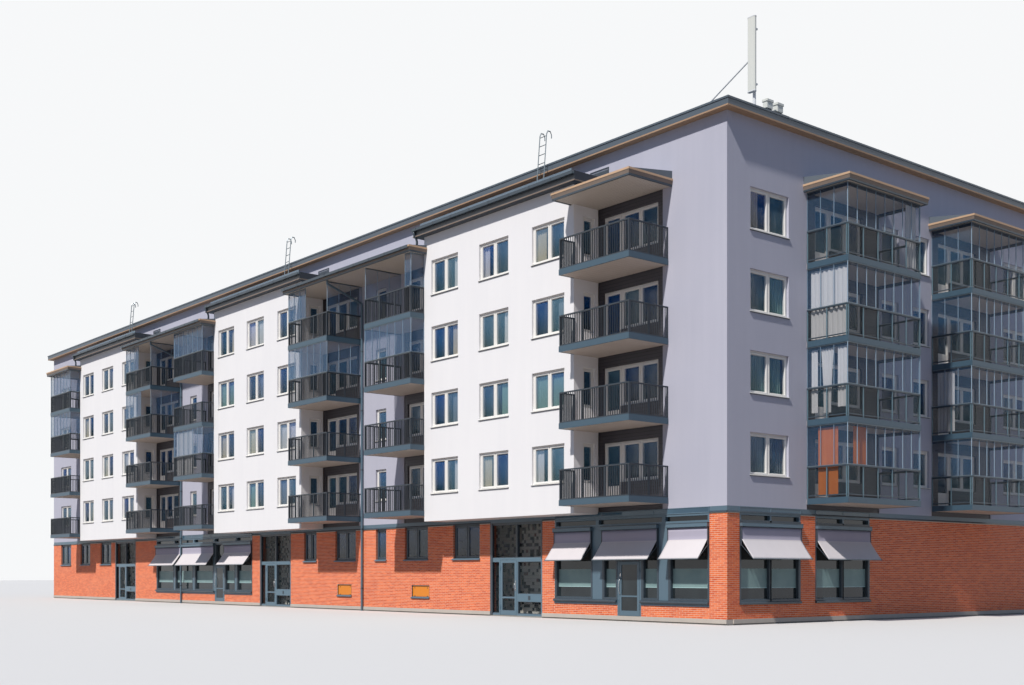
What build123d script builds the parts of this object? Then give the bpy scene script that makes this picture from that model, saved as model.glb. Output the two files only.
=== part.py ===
from build123d import *
import os

# Apartment block, five storeys, as a scale model at 1:2: every size below is half the real one, in mm.
# The long street face looks to -Y and the near short face to +X. The origin is at the middle of the
# plan, on the ground. "Along" is measured from the near corner along the long face, "in" from the
# street face along the short face, and "out" outward from the face that a piece belongs to.

# Plan of the long face, in order from the near corner
corner_pier = 1300
stack_width = 1730
bay_width = 4570
mid_wall_width = 1550
end_pier = 2375
pier_reveal = 130  # how far the grey piers and middle walls reach behind the balconies

# Plan of the short faces, from the street face
end_outer_wall = 2067
end_balcony_width = 2128
end_mid_wall = 1700

# Levels
ground_slab_top = 25
plinth_height = 95
brick_top = 1845
band_height = 100
first_floor_top = 2128
storey = 1350
upper_storeys = 4
floor_thickness = 125
attic_wall_height = 822
roof_soffit_thickness = 25
roof_edge_height = 125
roof_rise = 120
canopy_drop = 128  # canopy eaves below the attic floor
canopy_edge_height = 115
canopy_rise = 140
bay_drop = 213  # bay undersides below the first floor
bay_eave_lift = 222  # bay eaves above the attic floor
bay_edge_height = 175
bay_roof_rise = 130

# Thicknesses and projections
wall = 150
cladding_recess = 15
plinth_projection = 15
bay_projection = 595
balcony_projection = 940
end_balcony_projection = 850
slab_thickness = 95
roof_overhang = 155
canopy_overhang = 90
bay_roof_overhang = 150
bay_roof_side_overhang = 180
glass_thickness = 12
joint_gap = 1
fit_gap = 2
sheet_lap = 20  # how far glass sheets lap past the openings that they close

# Windows and upper doors
window_sill = 335
window_head = 1050
window_width = 900
narrow_window_width = 420
bay_window_pitch = 1585
bay_side_window_width = 295
end_window_in = 575
end_window_width = 1000
end_narrow_window_width = 530
end_narrow_window_inset = 80
upper_door_width = 440
upper_door_sill = 30
upper_window_width = 925
upper_door_inset = 115  # from the bay side of a stack to its door
end_door_inset = 250
end_pier_window_width = 950
back_window_count = 12

# Railings: open panels on the long face, and panels filled with glass on the short faces
railing_height = 545
rail_size = 25
post_size = 25

# Ground floor: sizes common to shop fronts and entrances
frame_size = 40
frame_depth = 60
shop_sill = 370
sill_flashing_height = 80
shop_head = 1685  # top of shop windows, under the glazed band
pilaster_depth = 90
awning_box_height = 75
awning_box_depth = 60
awning_skirt = 200
awning_reach = 275
awning_bottom = 1085
awning_thickness = 6
awning_bar_radius = 8

# Ground floor: places along the long face, from the nearest module's start
pier_front_width = 375
pier_side_depth = 305
shop_1_windows = [(1, 923), (1151, 418), (2161, 388), (2811, 1028)]  # from the pier: start, width
shop_1_pilasters = [(925, 225), (2550, 260)]
shop_1_door = 1610
shop_1_length = 3840
entrance_offset = 1545  # from the start of its bay
entrance_width = 1585
entrance_door_offset = 770
hinged_entrances = 2  # the third entrance keeps a fixed leaf
shop_2_offset = 3565  # from the start of the middle bay
shop_2_door = 1620
shop_2_window_width = 880
shop_2_pilaster_width = 90
high_window_sill = 1150
bay_high_window = (3480, 895)  # from the start of its bay: start, width
stack_high_window = (700, 870)
far_stack_high_window = (270, 900)
next_bay_high_window = (300, 605)
hatch_sill = 345
hatch_height = 250
hatch_recess = 20
stack_hatch = (650, 650)
far_stack_hatch = (455, 615)
end_shop_windows = [(pier_side_depth, 1590), (2300, 1590)]  # in from the street: start, width

# Street doors
shop_door_width = 500
shop_door_height = 960
entrance_door_width = 490
entrance_door_height = 1085
door_thickness = 30
door_gap = 5
stile = 55
kick_rail = 90
lock_rail_height = 330
letterbox_sill = 300
letterbox_height = 150
knuckle_radius = 8
knuckle_height = 40
knuckle_gap = 0.3
hinge_plate_width = 14
hinge_inset = 120
lobby_depth = 800
lobby_wall_thickness = 60

# Roof fittings
gutter_radius = 28
gutter_wall = 6
pipe_radius = 25
pipe_stand_off = 45
pipe_set_back = 75  # from a canopy's edge to its pipe
pipe_drop = 75  # how far the pipe falls before it turns to the wall
pipe_fall = 329  # how far it falls on its way to the wall
ladder_width = 190
ladder_tube = 12
rung_radius = 8
ladder_clearance = 36  # from the roof's edge out to the top of a ladder
ladder_lean = 90  # how far a ladder's foot stands out beyond its top
ladder_offset = 1200  # from the start of its bay
ladder_rise = 560  # above the roof's edge
hook_radius = 60
rung_pitch = 170
snow_guard_height = 85
snow_guard_thickness = 8
snow_guard_set_back = 70
antenna_along = 750
antenna_in = 1520
antenna_pole_radius = 28
antenna_panel_size = (165, 70, 1300)
antenna_panel_lift = 730  # above the roof's edge
antenna_strut_reach = 2680
antenna_panel_chamfer = 20
pole_drop = 100  # how far the pole stops below the top of the panel
radio_unit_size = (90, 160, 330)
radio_unit_offset = 120
radio_unit_reaches = (330, 630)

# Worked out from the sizes above
block_length = corner_pier + 6 * stack_width + 3 * bay_width + 2 * mid_wall_width + end_pier
block_width = 2 * end_outer_wall + 2 * end_balcony_width + end_mid_wall
half_length = block_length / 2
half_width = block_width / 2
band_top = brick_top + band_height
floor_tops = [first_floor_top + storey * i for i in range(upper_storeys)]
attic_floor_top = first_floor_top + storey * upper_storeys
attic_top = attic_floor_top + attic_wall_height
roof_edge_bottom = attic_top + roof_soffit_thickness
roof_edge_top = roof_edge_bottom + roof_edge_height
canopy_eave = attic_floor_top - canopy_drop
bay_underside = first_floor_top - bay_drop
bay_eave = attic_floor_top + bay_eave_lift

# Where each part of the long face starts and ends
modules = [("pier", corner_pier)]
for last_kind, last_width in (("mid", mid_wall_width), ("mid", mid_wall_width), ("end_pier", end_pier)):
    modules += [
        ("stack", stack_width),
        ("bay", bay_width),
        ("stack", stack_width),
        (last_kind, last_width),
    ]
spans = []
reached = 0
for kind, width in modules:
    spans.append((kind, reached, reached + width))
    reached += width
stacks = [(a, b) for kind, a, b in spans if kind == "stack"]
bays = [(a, b) for kind, a, b in spans if kind == "bay"]
mids = [(a, b) for kind, a, b in spans if kind == "mid"]
end_stacks = [
    (end_outer_wall, end_outer_wall + end_balcony_width),
    (end_outer_wall + end_balcony_width + end_mid_wall, block_width - end_outer_wall),
]
entrances = [(a + entrance_offset, a + entrance_offset + entrance_width) for a, b in bays]
shop_1 = (pier_front_width, pier_front_width + shop_1_length)
shop_2 = (bays[1][0] + shop_2_offset, mids[1][1] + stack_width)


def along(distance):
    """X of a point at this distance from the near corner along the long face."""
    return half_length - distance


def inward(distance):
    """Y of a point at this distance from the street face along the short face."""
    return -half_width + distance


def block(x0, x1, y0, y1, z0, z1):
    """A plain block between two corners, given in any order."""
    low = (min(x0, x1), min(y0, y1), min(z0, z1))
    size = (abs(x1 - x0), abs(y1 - y0), abs(z1 - z0))
    return Pos(*low) * Box(*size, align=(Align.MIN, Align.MIN, Align.MIN))


def front(a0, a1, out0, out1, z0, z1):
    """A block on the long street face."""
    return block(along(a0), along(a1), -half_width - out0, -half_width - out1, z0, z1)


def end(i0, i1, out0, out1, z0, z1):
    """A block on the near short face."""
    return block(half_length + out0, half_length + out1, inward(i0), inward(i1), z0, z1)


def back(x0, x1, out0, out1, z0, z1):
    """A block on the far long face."""
    return block(x0, x1, half_width + out0, half_width + out1, z0, z1)


def both_ends(solids):
    """The solids and their mirror images at the far end."""
    return solids + [solid.mirror(Plane.YZ) for solid in solids]


def cut(solid, holes):
    for hole in holes:
        solid = solid - hole
    return solid


def section_along(points, a0, a1):
    """A section given as (out, z) points, run along the long face."""
    corners = [(along(a1), -half_width - out, z) for out, z in points]
    return extrude(make_face(Polyline(*corners, close=True)), amount=a1 - a0, dir=(1, 0, 0))


def section_in(points, i0, i1):
    """A section given as (out, z) points, run in from the street on the near short face."""
    corners = [(half_length + out, inward(i0), z) for out, z in points]
    return extrude(make_face(Polyline(*corners, close=True)), amount=i1 - i0, dir=(0, 1, 0))


def elevation(points, out):
    """An outline given as (along, z) points, run outward from the long face."""
    corners = [(along(a), -half_width, z) for a, z in points]
    return extrude(make_face(Polyline(*corners, close=True)), amount=out, dir=(0, -1, 0))


def tube(points, radius, sides=6):
    """A pipe of few sides through these points, mitred at its bends."""
    path = Polyline(*points)
    start = Plane(origin=points[0], z_dir=path % 0)
    return sweep(start * RegularPolygon(radius, sides), path=path, transition=Transition.RIGHT)


def stack_sides(index):
    """How far out the walls beside a stack reach: on its near side, then on its far side."""
    bay_is_near = index % 2 == 1
    return (bay_projection, 0) if bay_is_near else (0, bay_projection)


parts = {}


# Floors and the ground slab
def make_floors():
    outline = block(
        -half_length + wall, half_length - wall, -half_width + wall, half_width - wall, 0, floor_thickness
    )
    for a, b in bays:
        outline = outline + front(a + wall, b - wall, -wall, bay_projection - wall, 0, floor_thickness)
    names = [f"floor_{i + 2}" for i in range(upper_storeys)] + ["attic_floor"]
    for name, top in zip(names, floor_tops + [attic_floor_top]):
        parts[name] = [Pos(0, 0, top - floor_thickness) * outline]
    parts["ground_slab"] = [
        block(-half_length, half_length, -half_width, half_width, 0, ground_slab_top)
    ]


# Upper walls of the long street face
def front_hole(start, width, low, high, out=0):
    return front(start, start + width, out - wall, out, low, high)


def make_front_piers():
    """Grey piers and middle walls, which reach a little way behind the balconies beside them."""
    piers = []
    for kind, a, b in spans:
        if kind not in ("pier", "mid", "end_pier"):
            continue
        a0 = a if kind == "pier" else a - pier_reveal
        b0 = b if kind == "end_pier" else b + pier_reveal
        solid = front(a0, b0, -wall, 0, band_top, attic_floor_top)
        width = {"mid": narrow_window_width, "end_pier": end_pier_window_width}.get(kind)
        if width:
            start = (a + b - width) / 2
            holes = [front_hole(start, width, t + window_sill, t + window_head) for t in floor_tops]
            solid = cut(solid, holes)
        piers.append(solid)
    parts["front_piers"] = piers


def back_wall_of_stack(index):
    """The dark wall behind a stack of balconies, with a door beside a window on each floor."""
    a, b = stacks[index]
    near, far = stack_sides(index)
    bay_is_near = near > far
    a0 = a if bay_is_near else a + pier_reveal
    b0 = b - pier_reveal if bay_is_near else b
    solid = front(a0, b0, -wall, -cladding_recess, band_top, canopy_eave)
    if bay_is_near:
        door = a + upper_door_inset
        window = door + upper_door_width
    else:
        door = b - upper_door_inset - upper_door_width
        window = door - upper_window_width
    for top in floor_tops:
        solid = solid - front_hole(door, upper_door_width, top + upper_door_sill, top + window_head)
        solid = solid - front_hole(window, upper_window_width, top + window_sill, top + window_head)
    return solid


def back_wall_of_end_stack(i0, i1):
    solid = end(i0, i1, -wall, -cladding_recess, band_top, canopy_eave)
    door = i0 + end_door_inset
    window = door + upper_door_width
    for top in floor_tops:
        head = top + window_head
        solid = solid - end(door, window, -wall, 0, top + upper_door_sill, head)
        solid = solid - end(window, window + upper_window_width, -wall, 0, top + window_sill, head)
    return solid


def make_balcony_back_walls():
    parts["balcony_back_walls"] = [back_wall_of_stack(i) for i in range(len(stacks))] + both_ends(
        [back_wall_of_end_stack(i0, i1) for i0, i1 in end_stacks]
    )


# White bays
def make_bays():
    fronts, sides, soffits = [], [], []
    for a, b in bays:
        centre = (a + b) / 2
        holes = [
            front_hole(
                centre + step * bay_window_pitch - window_width / 2,
                window_width,
                top + window_sill,
                top + window_head,
                bay_projection,
            )
            for step in (-1, 0, 1)
            for top in floor_tops
        ]
        face = front(a, b, bay_projection - wall, bay_projection, bay_underside, bay_eave)
        fronts.append(cut(face, holes))
        out0 = (bay_projection - wall - bay_side_window_width) / 2
        out1 = out0 + bay_side_window_width
        for a0, a1 in ((a, a + wall), (b - wall, b)):
            side = front(a0, a1, 0, bay_projection - wall, bay_underside, bay_eave)
            holes = [front(a0, a1, out0, out1, t + window_sill, t + window_head) for t in floor_tops]
            sides.append(cut(side, holes))
        soffits.append(
            front(
                a + wall,
                b - wall,
                0,
                bay_projection - wall,
                bay_underside,
                first_floor_top - floor_thickness,
            )
        )
    parts["bay_fronts"] = fronts
    parts["bay_sides"] = sides
    parts["bay_soffits"] = soffits


def make_bay_roofs():
    """Lean-to roofs against the attic wall, hipped at both ends."""
    out = bay_projection + bay_roof_overhang
    edge_top = bay_eave + bay_edge_height
    ridge = edge_top + bay_roof_rise
    roofs, guards = [], []
    for a, b in bays:
        a0, b0 = a - bay_roof_side_overhang, b + bay_roof_side_overhang
        slope = section_along([(0, bay_eave), (out, bay_eave), (out, edge_top), (0, ridge)], a0, b0)
        hips = elevation(
            [
                (a0, bay_eave),
                (b0, bay_eave),
                (b0, edge_top),
                (b0 - out, ridge),
                (a0 + out, ridge),
                (a0, edge_top),
            ],
            out,
        )
        roofs.append(slope & hips)
        guard_out = out - snow_guard_set_back
        guard = front(
            a0 + snow_guard_set_back * 2,
            b0 - snow_guard_set_back * 2,
            guard_out - snow_guard_thickness,
            guard_out,
            edge_top,
            edge_top + snow_guard_height,
        )
        guards.append(guard - roofs[-1])
    parts["bay_roofs"] = roofs
    parts["snow_guards"] = guards


# Short faces and the far long face
def make_end_walls():
    last = end_stacks[1][0] - end_narrow_window_inset - end_narrow_window_width
    walls = [
        (wall, end_stacks[0][0], [(end_window_in, end_window_width)]),
        (
            end_stacks[0][1],
            end_stacks[1][0],
            [
                (end_stacks[0][1] + end_narrow_window_inset, end_narrow_window_width),
                (last, end_narrow_window_width),
            ],
        ),
        (
            end_stacks[1][1],
            block_width - wall,
            [(block_width - end_window_in - end_window_width, end_window_width)],
        ),
    ]
    grey = []
    for i0, i1, windows in walls:
        holes = [
            end(start, start + width, -wall, 0, top + window_sill, top + window_head)
            for start, width in windows
            for top in floor_tops
        ]
        grey.append(cut(end(i0, i1, -wall, 0, band_top, attic_floor_top), holes))
    parts["end_walls"] = both_ends(grey)


def back_window_starts(width):
    pitch = block_length / back_window_count
    return [-half_length + pitch * (i + 0.5) - width / 2 for i in range(back_window_count)]


def make_back_wall():
    """The far long face repeats the storeys in plain form."""
    holes = [
        back(x, x + window_width, -wall, 0, top + window_sill, top + window_head)
        for x in back_window_starts(window_width)
        for top in floor_tops
    ]
    face = back(-half_length, half_length, -wall, 0, band_top, attic_floor_top)
    parts["back_wall"] = [cut(face, holes)]


def make_attic_walls():
    z0, z1 = attic_floor_top, attic_top
    parts["attic_walls"] = [
        front(0, block_length, -wall, 0, z0, z1),
        back(-half_length, half_length, -wall, 0, z0, z1),
    ] + both_ends([end(wall + joint_gap, block_width - wall - joint_gap, -wall, 0, z0, z1)])


# Glass: one sheet a storey closes the windows of a wall, on its inner face
def make_window_glass():
    t = glass_thickness
    lap = sheet_lap
    sheets = []
    for a, b in (
        (stacks[0][0], stacks[0][1] - joint_gap),
        (stacks[1][0] + joint_gap, stacks[2][1] - joint_gap),
        (stacks[3][0] + joint_gap, stacks[4][1] - joint_gap),
        (stacks[5][0] + joint_gap, block_length - wall - t - joint_gap),
    ):
        sheets += [front(a, b, -wall - t, -wall, top, top + window_head + lap) for top in floor_tops]
    parts["front_glass"] = sheets
    panes = []
    for a, b in bays:
        for top in floor_tops:
            low, high = top + window_sill - lap, top + window_head + lap
            out = bay_projection - wall
            panes.append(front(a + wall, b - wall, out - t, out, low, high))
            for a0 in (a + wall, b - wall - t):
                panes.append(front(a0, a0 + t, 0, out - t - joint_gap, low, high))
    parts["bay_glass"] = panes
    i0, i1 = wall + t + joint_gap, block_width - wall - t - joint_gap
    parts["end_glass"] = both_ends(
        [end(i0, i1, -wall - t, -wall, top, top + window_head + lap) for top in floor_tops]
    )
    x1 = half_length - wall - t - joint_gap
    parts["back_glass"] = [
        back(-x1, x1, -wall - t, -wall, top + window_sill - lap, top + window_head + lap)
        for top in floor_tops
    ] + [back(-x1, x1, -wall - t, -wall, high_window_sill - lap, shop_head + lap)]


# Balconies
def panel_along(a0, a1, out, z):
    """A railing panel that runs along the long face: rails and end posts. out is its outer side."""
    t, high = rail_size, z + railing_height
    inner = front(a0 + post_size, a1 - post_size, out - t, out, z + t, high - t)
    return front(a0, a1, out - t, out, z, high) - inner


def panel_out(a0, out0, out1, z):
    """A railing panel that runs outward from the long face; a0 is its near side.

    The short panels beside the bays are plain.
    """
    t, high = rail_size, z + railing_height
    if out1 - out0 < railing_height:
        return front(a0, a0 + t, out0, out1, z, high)
    inner = front(a0, a0 + t, out0 + post_size, out1 - post_size, z + t, high - t)
    return front(a0, a0 + t, out0, out1, z, high) - inner


def make_balconies():
    slabs, fronts, sides = [], [], []
    out = balcony_projection
    t = rail_size
    for index, (a, b) in enumerate(stacks):
        near, far = stack_sides(index)
        for top in floor_tops:
            slabs.append(front(a, b, 0, out, top - slab_thickness, top))
            fronts.append(panel_along(a, b, out, top))
            inner = out - t - fit_gap
            sides.append(panel_out(a, near + fit_gap, inner, top))
            sides.append(panel_out(b - t, far + fit_gap, inner, top))
    end_slabs, end_rails = [], []
    out = end_balcony_projection
    for i0, i1 in end_stacks:
        for top in floor_tops:
            end_slabs.append(end(i0, i1, 0, out, top - slab_thickness, top))
            high = top + railing_height
            end_rails.append(end(i0, i1, out - t, out, top, high))
            for low in (i0, i1 - t):
                end_rails.append(end(low, low + t, fit_gap, out - t - fit_gap, top, high))
    parts["balcony_slabs"] = slabs + both_ends(end_slabs)
    parts["railing_fronts"] = fronts
    parts["railing_sides"] = sides
    parts["end_railings"] = both_ends(end_rails)


def ceiling_over(level):
    return canopy_eave if level == upper_storeys - 1 else floor_tops[level + 1] - slab_thickness


def make_balcony_glazing():
    """Frameless glass from rail to ceiling, on the long face where it is closed and on the near end.

    Each entry is a stack, a storey and the share of the balcony's front that is closed.
    """
    t = glass_thickness
    closed = [
        (1, 3, 0.12),
        (1, 2, 1),
        (2, 3, 0.45),
        (2, 2, 1),
        (3, 3, 1),
        (3, 1, 1),
        (4, 3, 0.5),
        (4, 2, 0.6),
        (5, 3, 1),
        (5, 2, 1),
    ]
    inset = (rail_size - t) / 2
    panes = []
    for index, level, share in closed:
        a, b = stacks[index]
        near, far = stack_sides(index)
        z0, z1 = floor_tops[level] + railing_height, ceiling_over(level)
        a0 = a if index in (1, 3, 5) else b - (b - a) * share
        a1 = a + (b - a) * share if index in (1, 3, 5) else b
        out = balcony_projection - inset
        panes.append(front(a0, a1, out - t, out, z0, z1))
        inner = out - t - fit_gap
        panes.append(front(a + inset, a + inset + t, near + fit_gap, inner, z0, z1))
        panes.append(front(b - inset - t, b - inset, far + fit_gap, inner, z0, z1))
    end_panes = []
    out = end_balcony_projection - inset
    for i0, i1 in end_stacks:
        for level in range(upper_storeys):
            z0, z1 = floor_tops[level] + railing_height, ceiling_over(level)
            end_panes.append(end(i0, i1, out - t, out, z0, z1))
            for low in (i0 + inset, i1 - inset - t):
                end_panes.append(end(low, low + t, fit_gap, out - t - fit_gap, z0, z1))
    parts["balcony_glazing"] = panes + end_panes


def canopy_section(out):
    top = canopy_eave + canopy_edge_height
    return [(0, canopy_eave), (out, canopy_eave), (out, top), (0, top + canopy_rise)]


def make_canopies():
    """Sloping roofs over the balconies. An ear of each laps the front of the bay beside it."""
    out = balcony_projection + canopy_overhang
    lap = canopy_overhang
    canopies = []
    for first, last in ((0, 0), (1, 2), (3, 4), (5, 5)):
        near, far = stack_sides(first)[0], stack_sides(last)[1]
        a, b = stacks[first][0], stacks[last][1]
        solid = section_along(canopy_section(out), a - lap, b + lap)
        z0, z1 = canopy_eave, canopy_eave + canopy_edge_height + canopy_rise
        if near:
            solid = solid - front(a - lap, a, 0, near + fit_gap, z0, z1)
        if far:
            solid = solid - front(b, b + lap, 0, far + fit_gap, z0, z1)
        canopies.append(solid)
    end_out = end_balcony_projection + canopy_overhang
    parts["canopies"] = canopies + both_ends(
        [section_in(canopy_section(end_out), i0 - lap, i1 + lap) for i0, i1 in end_stacks]
    )


# Main roof
def make_roof():
    o = roof_overhang
    lx, ly = half_length + o, half_width + o
    z0, z1 = attic_top, roof_edge_bottom
    gap = joint_gap
    parts["roof_soffits"] = [
        block(-lx, lx, side * half_width, side * ly, z0, z1) for side in (-1, 1)
    ] + both_ends([block(half_length, lx, -half_width + gap, half_width - gap, z0, z1)])
    top = roof_edge_top
    slope = extrude(
        make_face(Polyline((-lx, -ly, z1), (-lx, ly, z1), (-lx, ly, top), (-lx, 0, top + roof_rise),
                           (-lx, -ly, top), close=True)),
        amount=2 * lx,
        dir=(1, 0, 0),
    )
    hips = extrude(
        make_face(Polyline((-lx, -ly, z1), (lx, -ly, z1), (lx, -ly, top), (lx - ly, -ly, top + roof_rise),
                           (ly - lx, -ly, top + roof_rise), (-lx, -ly, top), close=True)),
        amount=2 * ly,
        dir=(0, 1, 0),
    )
    deck = block(-half_length, half_length, -half_width, half_width, z0, z1)
    parts["roof"] = [(slope & hips) + deck]


# Ground floor walls
def front_windows():
    """High windows in the brick: where each starts along the long face, and its width."""
    found = []
    for a, b in (bays[0], bays[2]):
        found.append((a + bay_high_window[0], bay_high_window[1]))
    found.append((stacks[1][0] + stack_high_window[0], stack_high_window[1]))
    found.append(((mids[0][0] + mids[0][1] - narrow_window_width) / 2, narrow_window_width))
    found.append((stacks[2][0] + far_stack_high_window[0], far_stack_high_window[1]))
    found.append((bays[1][0] + next_bay_high_window[0], next_bay_high_window[1]))
    found.append((stacks[5][0] + stack_high_window[0], stack_high_window[1]))
    a, b = spans[-1][1:]
    found.append(((a + b - end_pier_window_width) / 2, end_pier_window_width))
    return found


def hatch_places():
    return [
        (stacks[1][0] + stack_hatch[0], stack_hatch[1]),
        (stacks[2][0] + far_stack_hatch[0], far_stack_hatch[1]),
    ]


def make_brick_walls():
    z0, z1 = plinth_height, brick_top
    stops = sorted([shop_1, shop_2] + entrances)
    edges = [0] + [edge for stop in stops for edge in stop] + [block_length]
    walls = []
    for a, b in zip(edges[0::2], edges[1::2]):
        solid = front(a, b, -wall, 0, z0, z1)
        for start, width in front_windows():
            if start > a and start + width < b:
                solid = solid - front_hole(start, width, high_window_sill, z1)
        for start, width in hatch_places():
            if start > a and start + width < b:
                solid = solid - front(
                    start, start + width, -wall / 2, 0, hatch_sill, hatch_sill + hatch_height
                )
        walls.append(solid)
    parts["brick_front"] = walls
    holes = [end(i, i + width, -wall, 0, shop_sill, z1) for i, width in end_shop_windows]
    parts["brick_ends"] = both_ends([cut(end(wall, block_width - wall, -wall, 0, z0, z1), holes)])
    holes = [
        back(x, x + window_width, -wall, 0, high_window_sill, shop_head)
        for x in back_window_starts(window_width)
    ]
    parts["brick_back"] = [cut(back(-half_length, half_length, -wall, 0, z0, z1), holes)]
    parts["service_hatches"] = [
        front(a, a + width, -wall / 2, -hatch_recess, hatch_sill, hatch_sill + hatch_height)
        for a, width in hatch_places()
    ]


def make_plinths_and_band():
    z0, z1, p = ground_slab_top, plinth_height, plinth_projection
    edges = [0] + [edge for stop in entrances for edge in stop] + [block_length]
    plinths = [front(a, b, -wall, p, z0, z1) for a, b in zip(edges[0::2], edges[1::2])]
    plinths.append(back(-half_length, half_length, -wall, p, z0, z1))
    i0, i1 = wall + joint_gap, block_width - wall - joint_gap
    parts["plinths"] = plinths + both_ends([end(i0, i1, -wall, p, z0, z1)])
    z0, z1 = brick_top, band_top
    parts["steel_band"] = [
        front(0, block_length, -wall, 0, z0, z1),
        back(-half_length, half_length, -wall, 0, z0, z1),
    ] + both_ends([end(i0, i1, -wall, 0, z0, z1)])


# Shop fronts, entrances and street doors
def hinge_halves(pivot, door_side, z):
    """A lift-off hinge: the frame's half, then the door's half, which rests on it.

    door_side is 1 where the door lies further along the face than the pivot, and -1 otherwise.
    """
    r = knuckle_radius
    halves = []
    for side, low in ((-door_side, z), (door_side, z + knuckle_height + knuckle_gap)):
        knuckle = Pos(along(pivot), -half_width - r, low) * extrude(
            RegularPolygon(r, 6), amount=knuckle_height
        )
        end_of_plate = pivot + side * hinge_plate_width
        plate = front(pivot, end_of_plate, -joint_gap, r, low, low + knuckle_height)
        halves.append(knuckle + plate)
    return halves


def hang(door, frame, pivot, door_side, z0, z1):
    """Fuses two hinges to a door and to the frame beside it."""
    for z in (z0 + hinge_inset, z1 - hinge_inset - 2 * knuckle_height):
        frame_half, door_half = hinge_halves(pivot, door_side, z)
        frame = frame + frame_half
        door = door + door_half
    return door, frame


def door_leaf(a0, a1, z0, z1):
    """A glazed leaf: its steel rails and stiles, and its two panes as a second list."""
    mid = z0 + lock_rail_height
    leaf = front(a0, a1, -door_thickness, 0, z0, z1)
    panes = []
    for low, high in ((z0 + kick_rail, mid), (mid + stile / 2, z1 - stile)):
        leaf = leaf - front(a0 + stile, a1 - stile, -door_thickness, 0, low, high)
        inset = (door_thickness - glass_thickness) / 2
        panes.append(
            front(a0 + stile, a1 - stile, -inset - glass_thickness, -inset, low, high)
        )
    return leaf, panes


def framed(a0, a1, z0, z1):
    """A flat steel frame around one opening on the long face."""
    f, d = frame_size, frame_depth
    return front(a0, a1, -d, 0, z0, z1) - front(a0 + f, a1 - f, -d, 0, z0 + f, z1 - f)


def shop_layout(start, length, windows, pilasters, door):
    """Adds one shop front's frames, glass and sill walls, and returns its door leaf."""
    d, t, f = frame_depth, glass_thickness, frame_size
    door_a, door_b = start + door, start + door + shop_door_width + 2 * door_gap
    low, high = plinth_height + door_gap, plinth_height + shop_door_height
    head = high + door_gap
    leaf, panes = door_leaf(door_a + door_gap, door_b - door_gap, low, high)
    post = front(door_a - f, door_a, -d, 0, plinth_height, head - joint_gap)
    leaf, post = hang(leaf, post, door_a + door_gap / 2, 1, low, high)
    shop_frames.append(post)
    shop_frames.append(front(door_b, door_b + f, -d, 0, plinth_height, head - joint_gap))
    shop_frames.append(framed(door_a - f, door_b + f, head, shop_head - joint_gap))
    shop_glass.append(
        front(door_a - f, door_b + f, -d - t, -d, head, shop_head - joint_gap)
    )
    for a, width in windows:
        a0, a1 = start + a, start + a + width
        shop_frames.append(framed(a0, a1, shop_sill, shop_head - joint_gap))
        shop_glass.append(front(a0, a1, -d - t, -d, shop_sill, shop_head - joint_gap))
    for a, width in pilasters:
        shop_frames.append(
            front(
                start + a + joint_gap,
                start + a + width - joint_gap,
                -pilaster_depth,
                0,
                shop_sill,
                shop_head - joint_gap,
            )
        )
    for a0, a1 in ((start, door_a - f), (door_b + f, start + length)):
        sill_walls.append(front(a0, a1, -wall, 0, plinth_height, shop_sill))
        flashing_foot = shop_sill - sill_flashing_height
        shop_frames.append(front(a0, a1, 0, plinth_projection, flashing_foot, shop_sill))
    band = front(start, start + length, -d, 0, shop_head, brick_top)
    edges = [start] + [start + a + width / 2 for a, width in pilasters] + [start + length]
    for a0, a1 in zip(edges[:-1], edges[1:]):
        band = band - front(a0 + f, a1 - f, -d, 0, shop_head + f, brick_top - f)
    shop_frames.append(band)
    shop_glass.append(
        front(start, start + length, -d - t, -d, shop_head, brick_top)
    )
    return leaf, panes


def awning(a0, a1, section):
    """A box, and its cloth with the bar at its edge, as sections run between two places."""
    top = shop_head
    box = section([(0, top - awning_box_height), (awning_box_depth, top - awning_box_height),
                   (awning_box_depth, top), (0, top)], a0, a1)
    out = awning_box_depth / 2
    t, r = awning_thickness, awning_bar_radius
    low = top - awning_box_height
    knee = low - awning_skirt
    cloth = section(
        [
            (out, low),
            (out, knee),
            (awning_reach - r, awning_bottom + r),
            (awning_reach - r, awning_bottom - r),
            (awning_reach + r, awning_bottom - r),
            (awning_reach + r, awning_bottom + r),
            (out + t, knee + t / 2),
            (out + t, low),
        ],
        a0 + frame_size / 2,
        a1 - frame_size / 2,
    )
    return box, cloth


shop_frames, shop_glass, sill_walls = [], [], []


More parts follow.
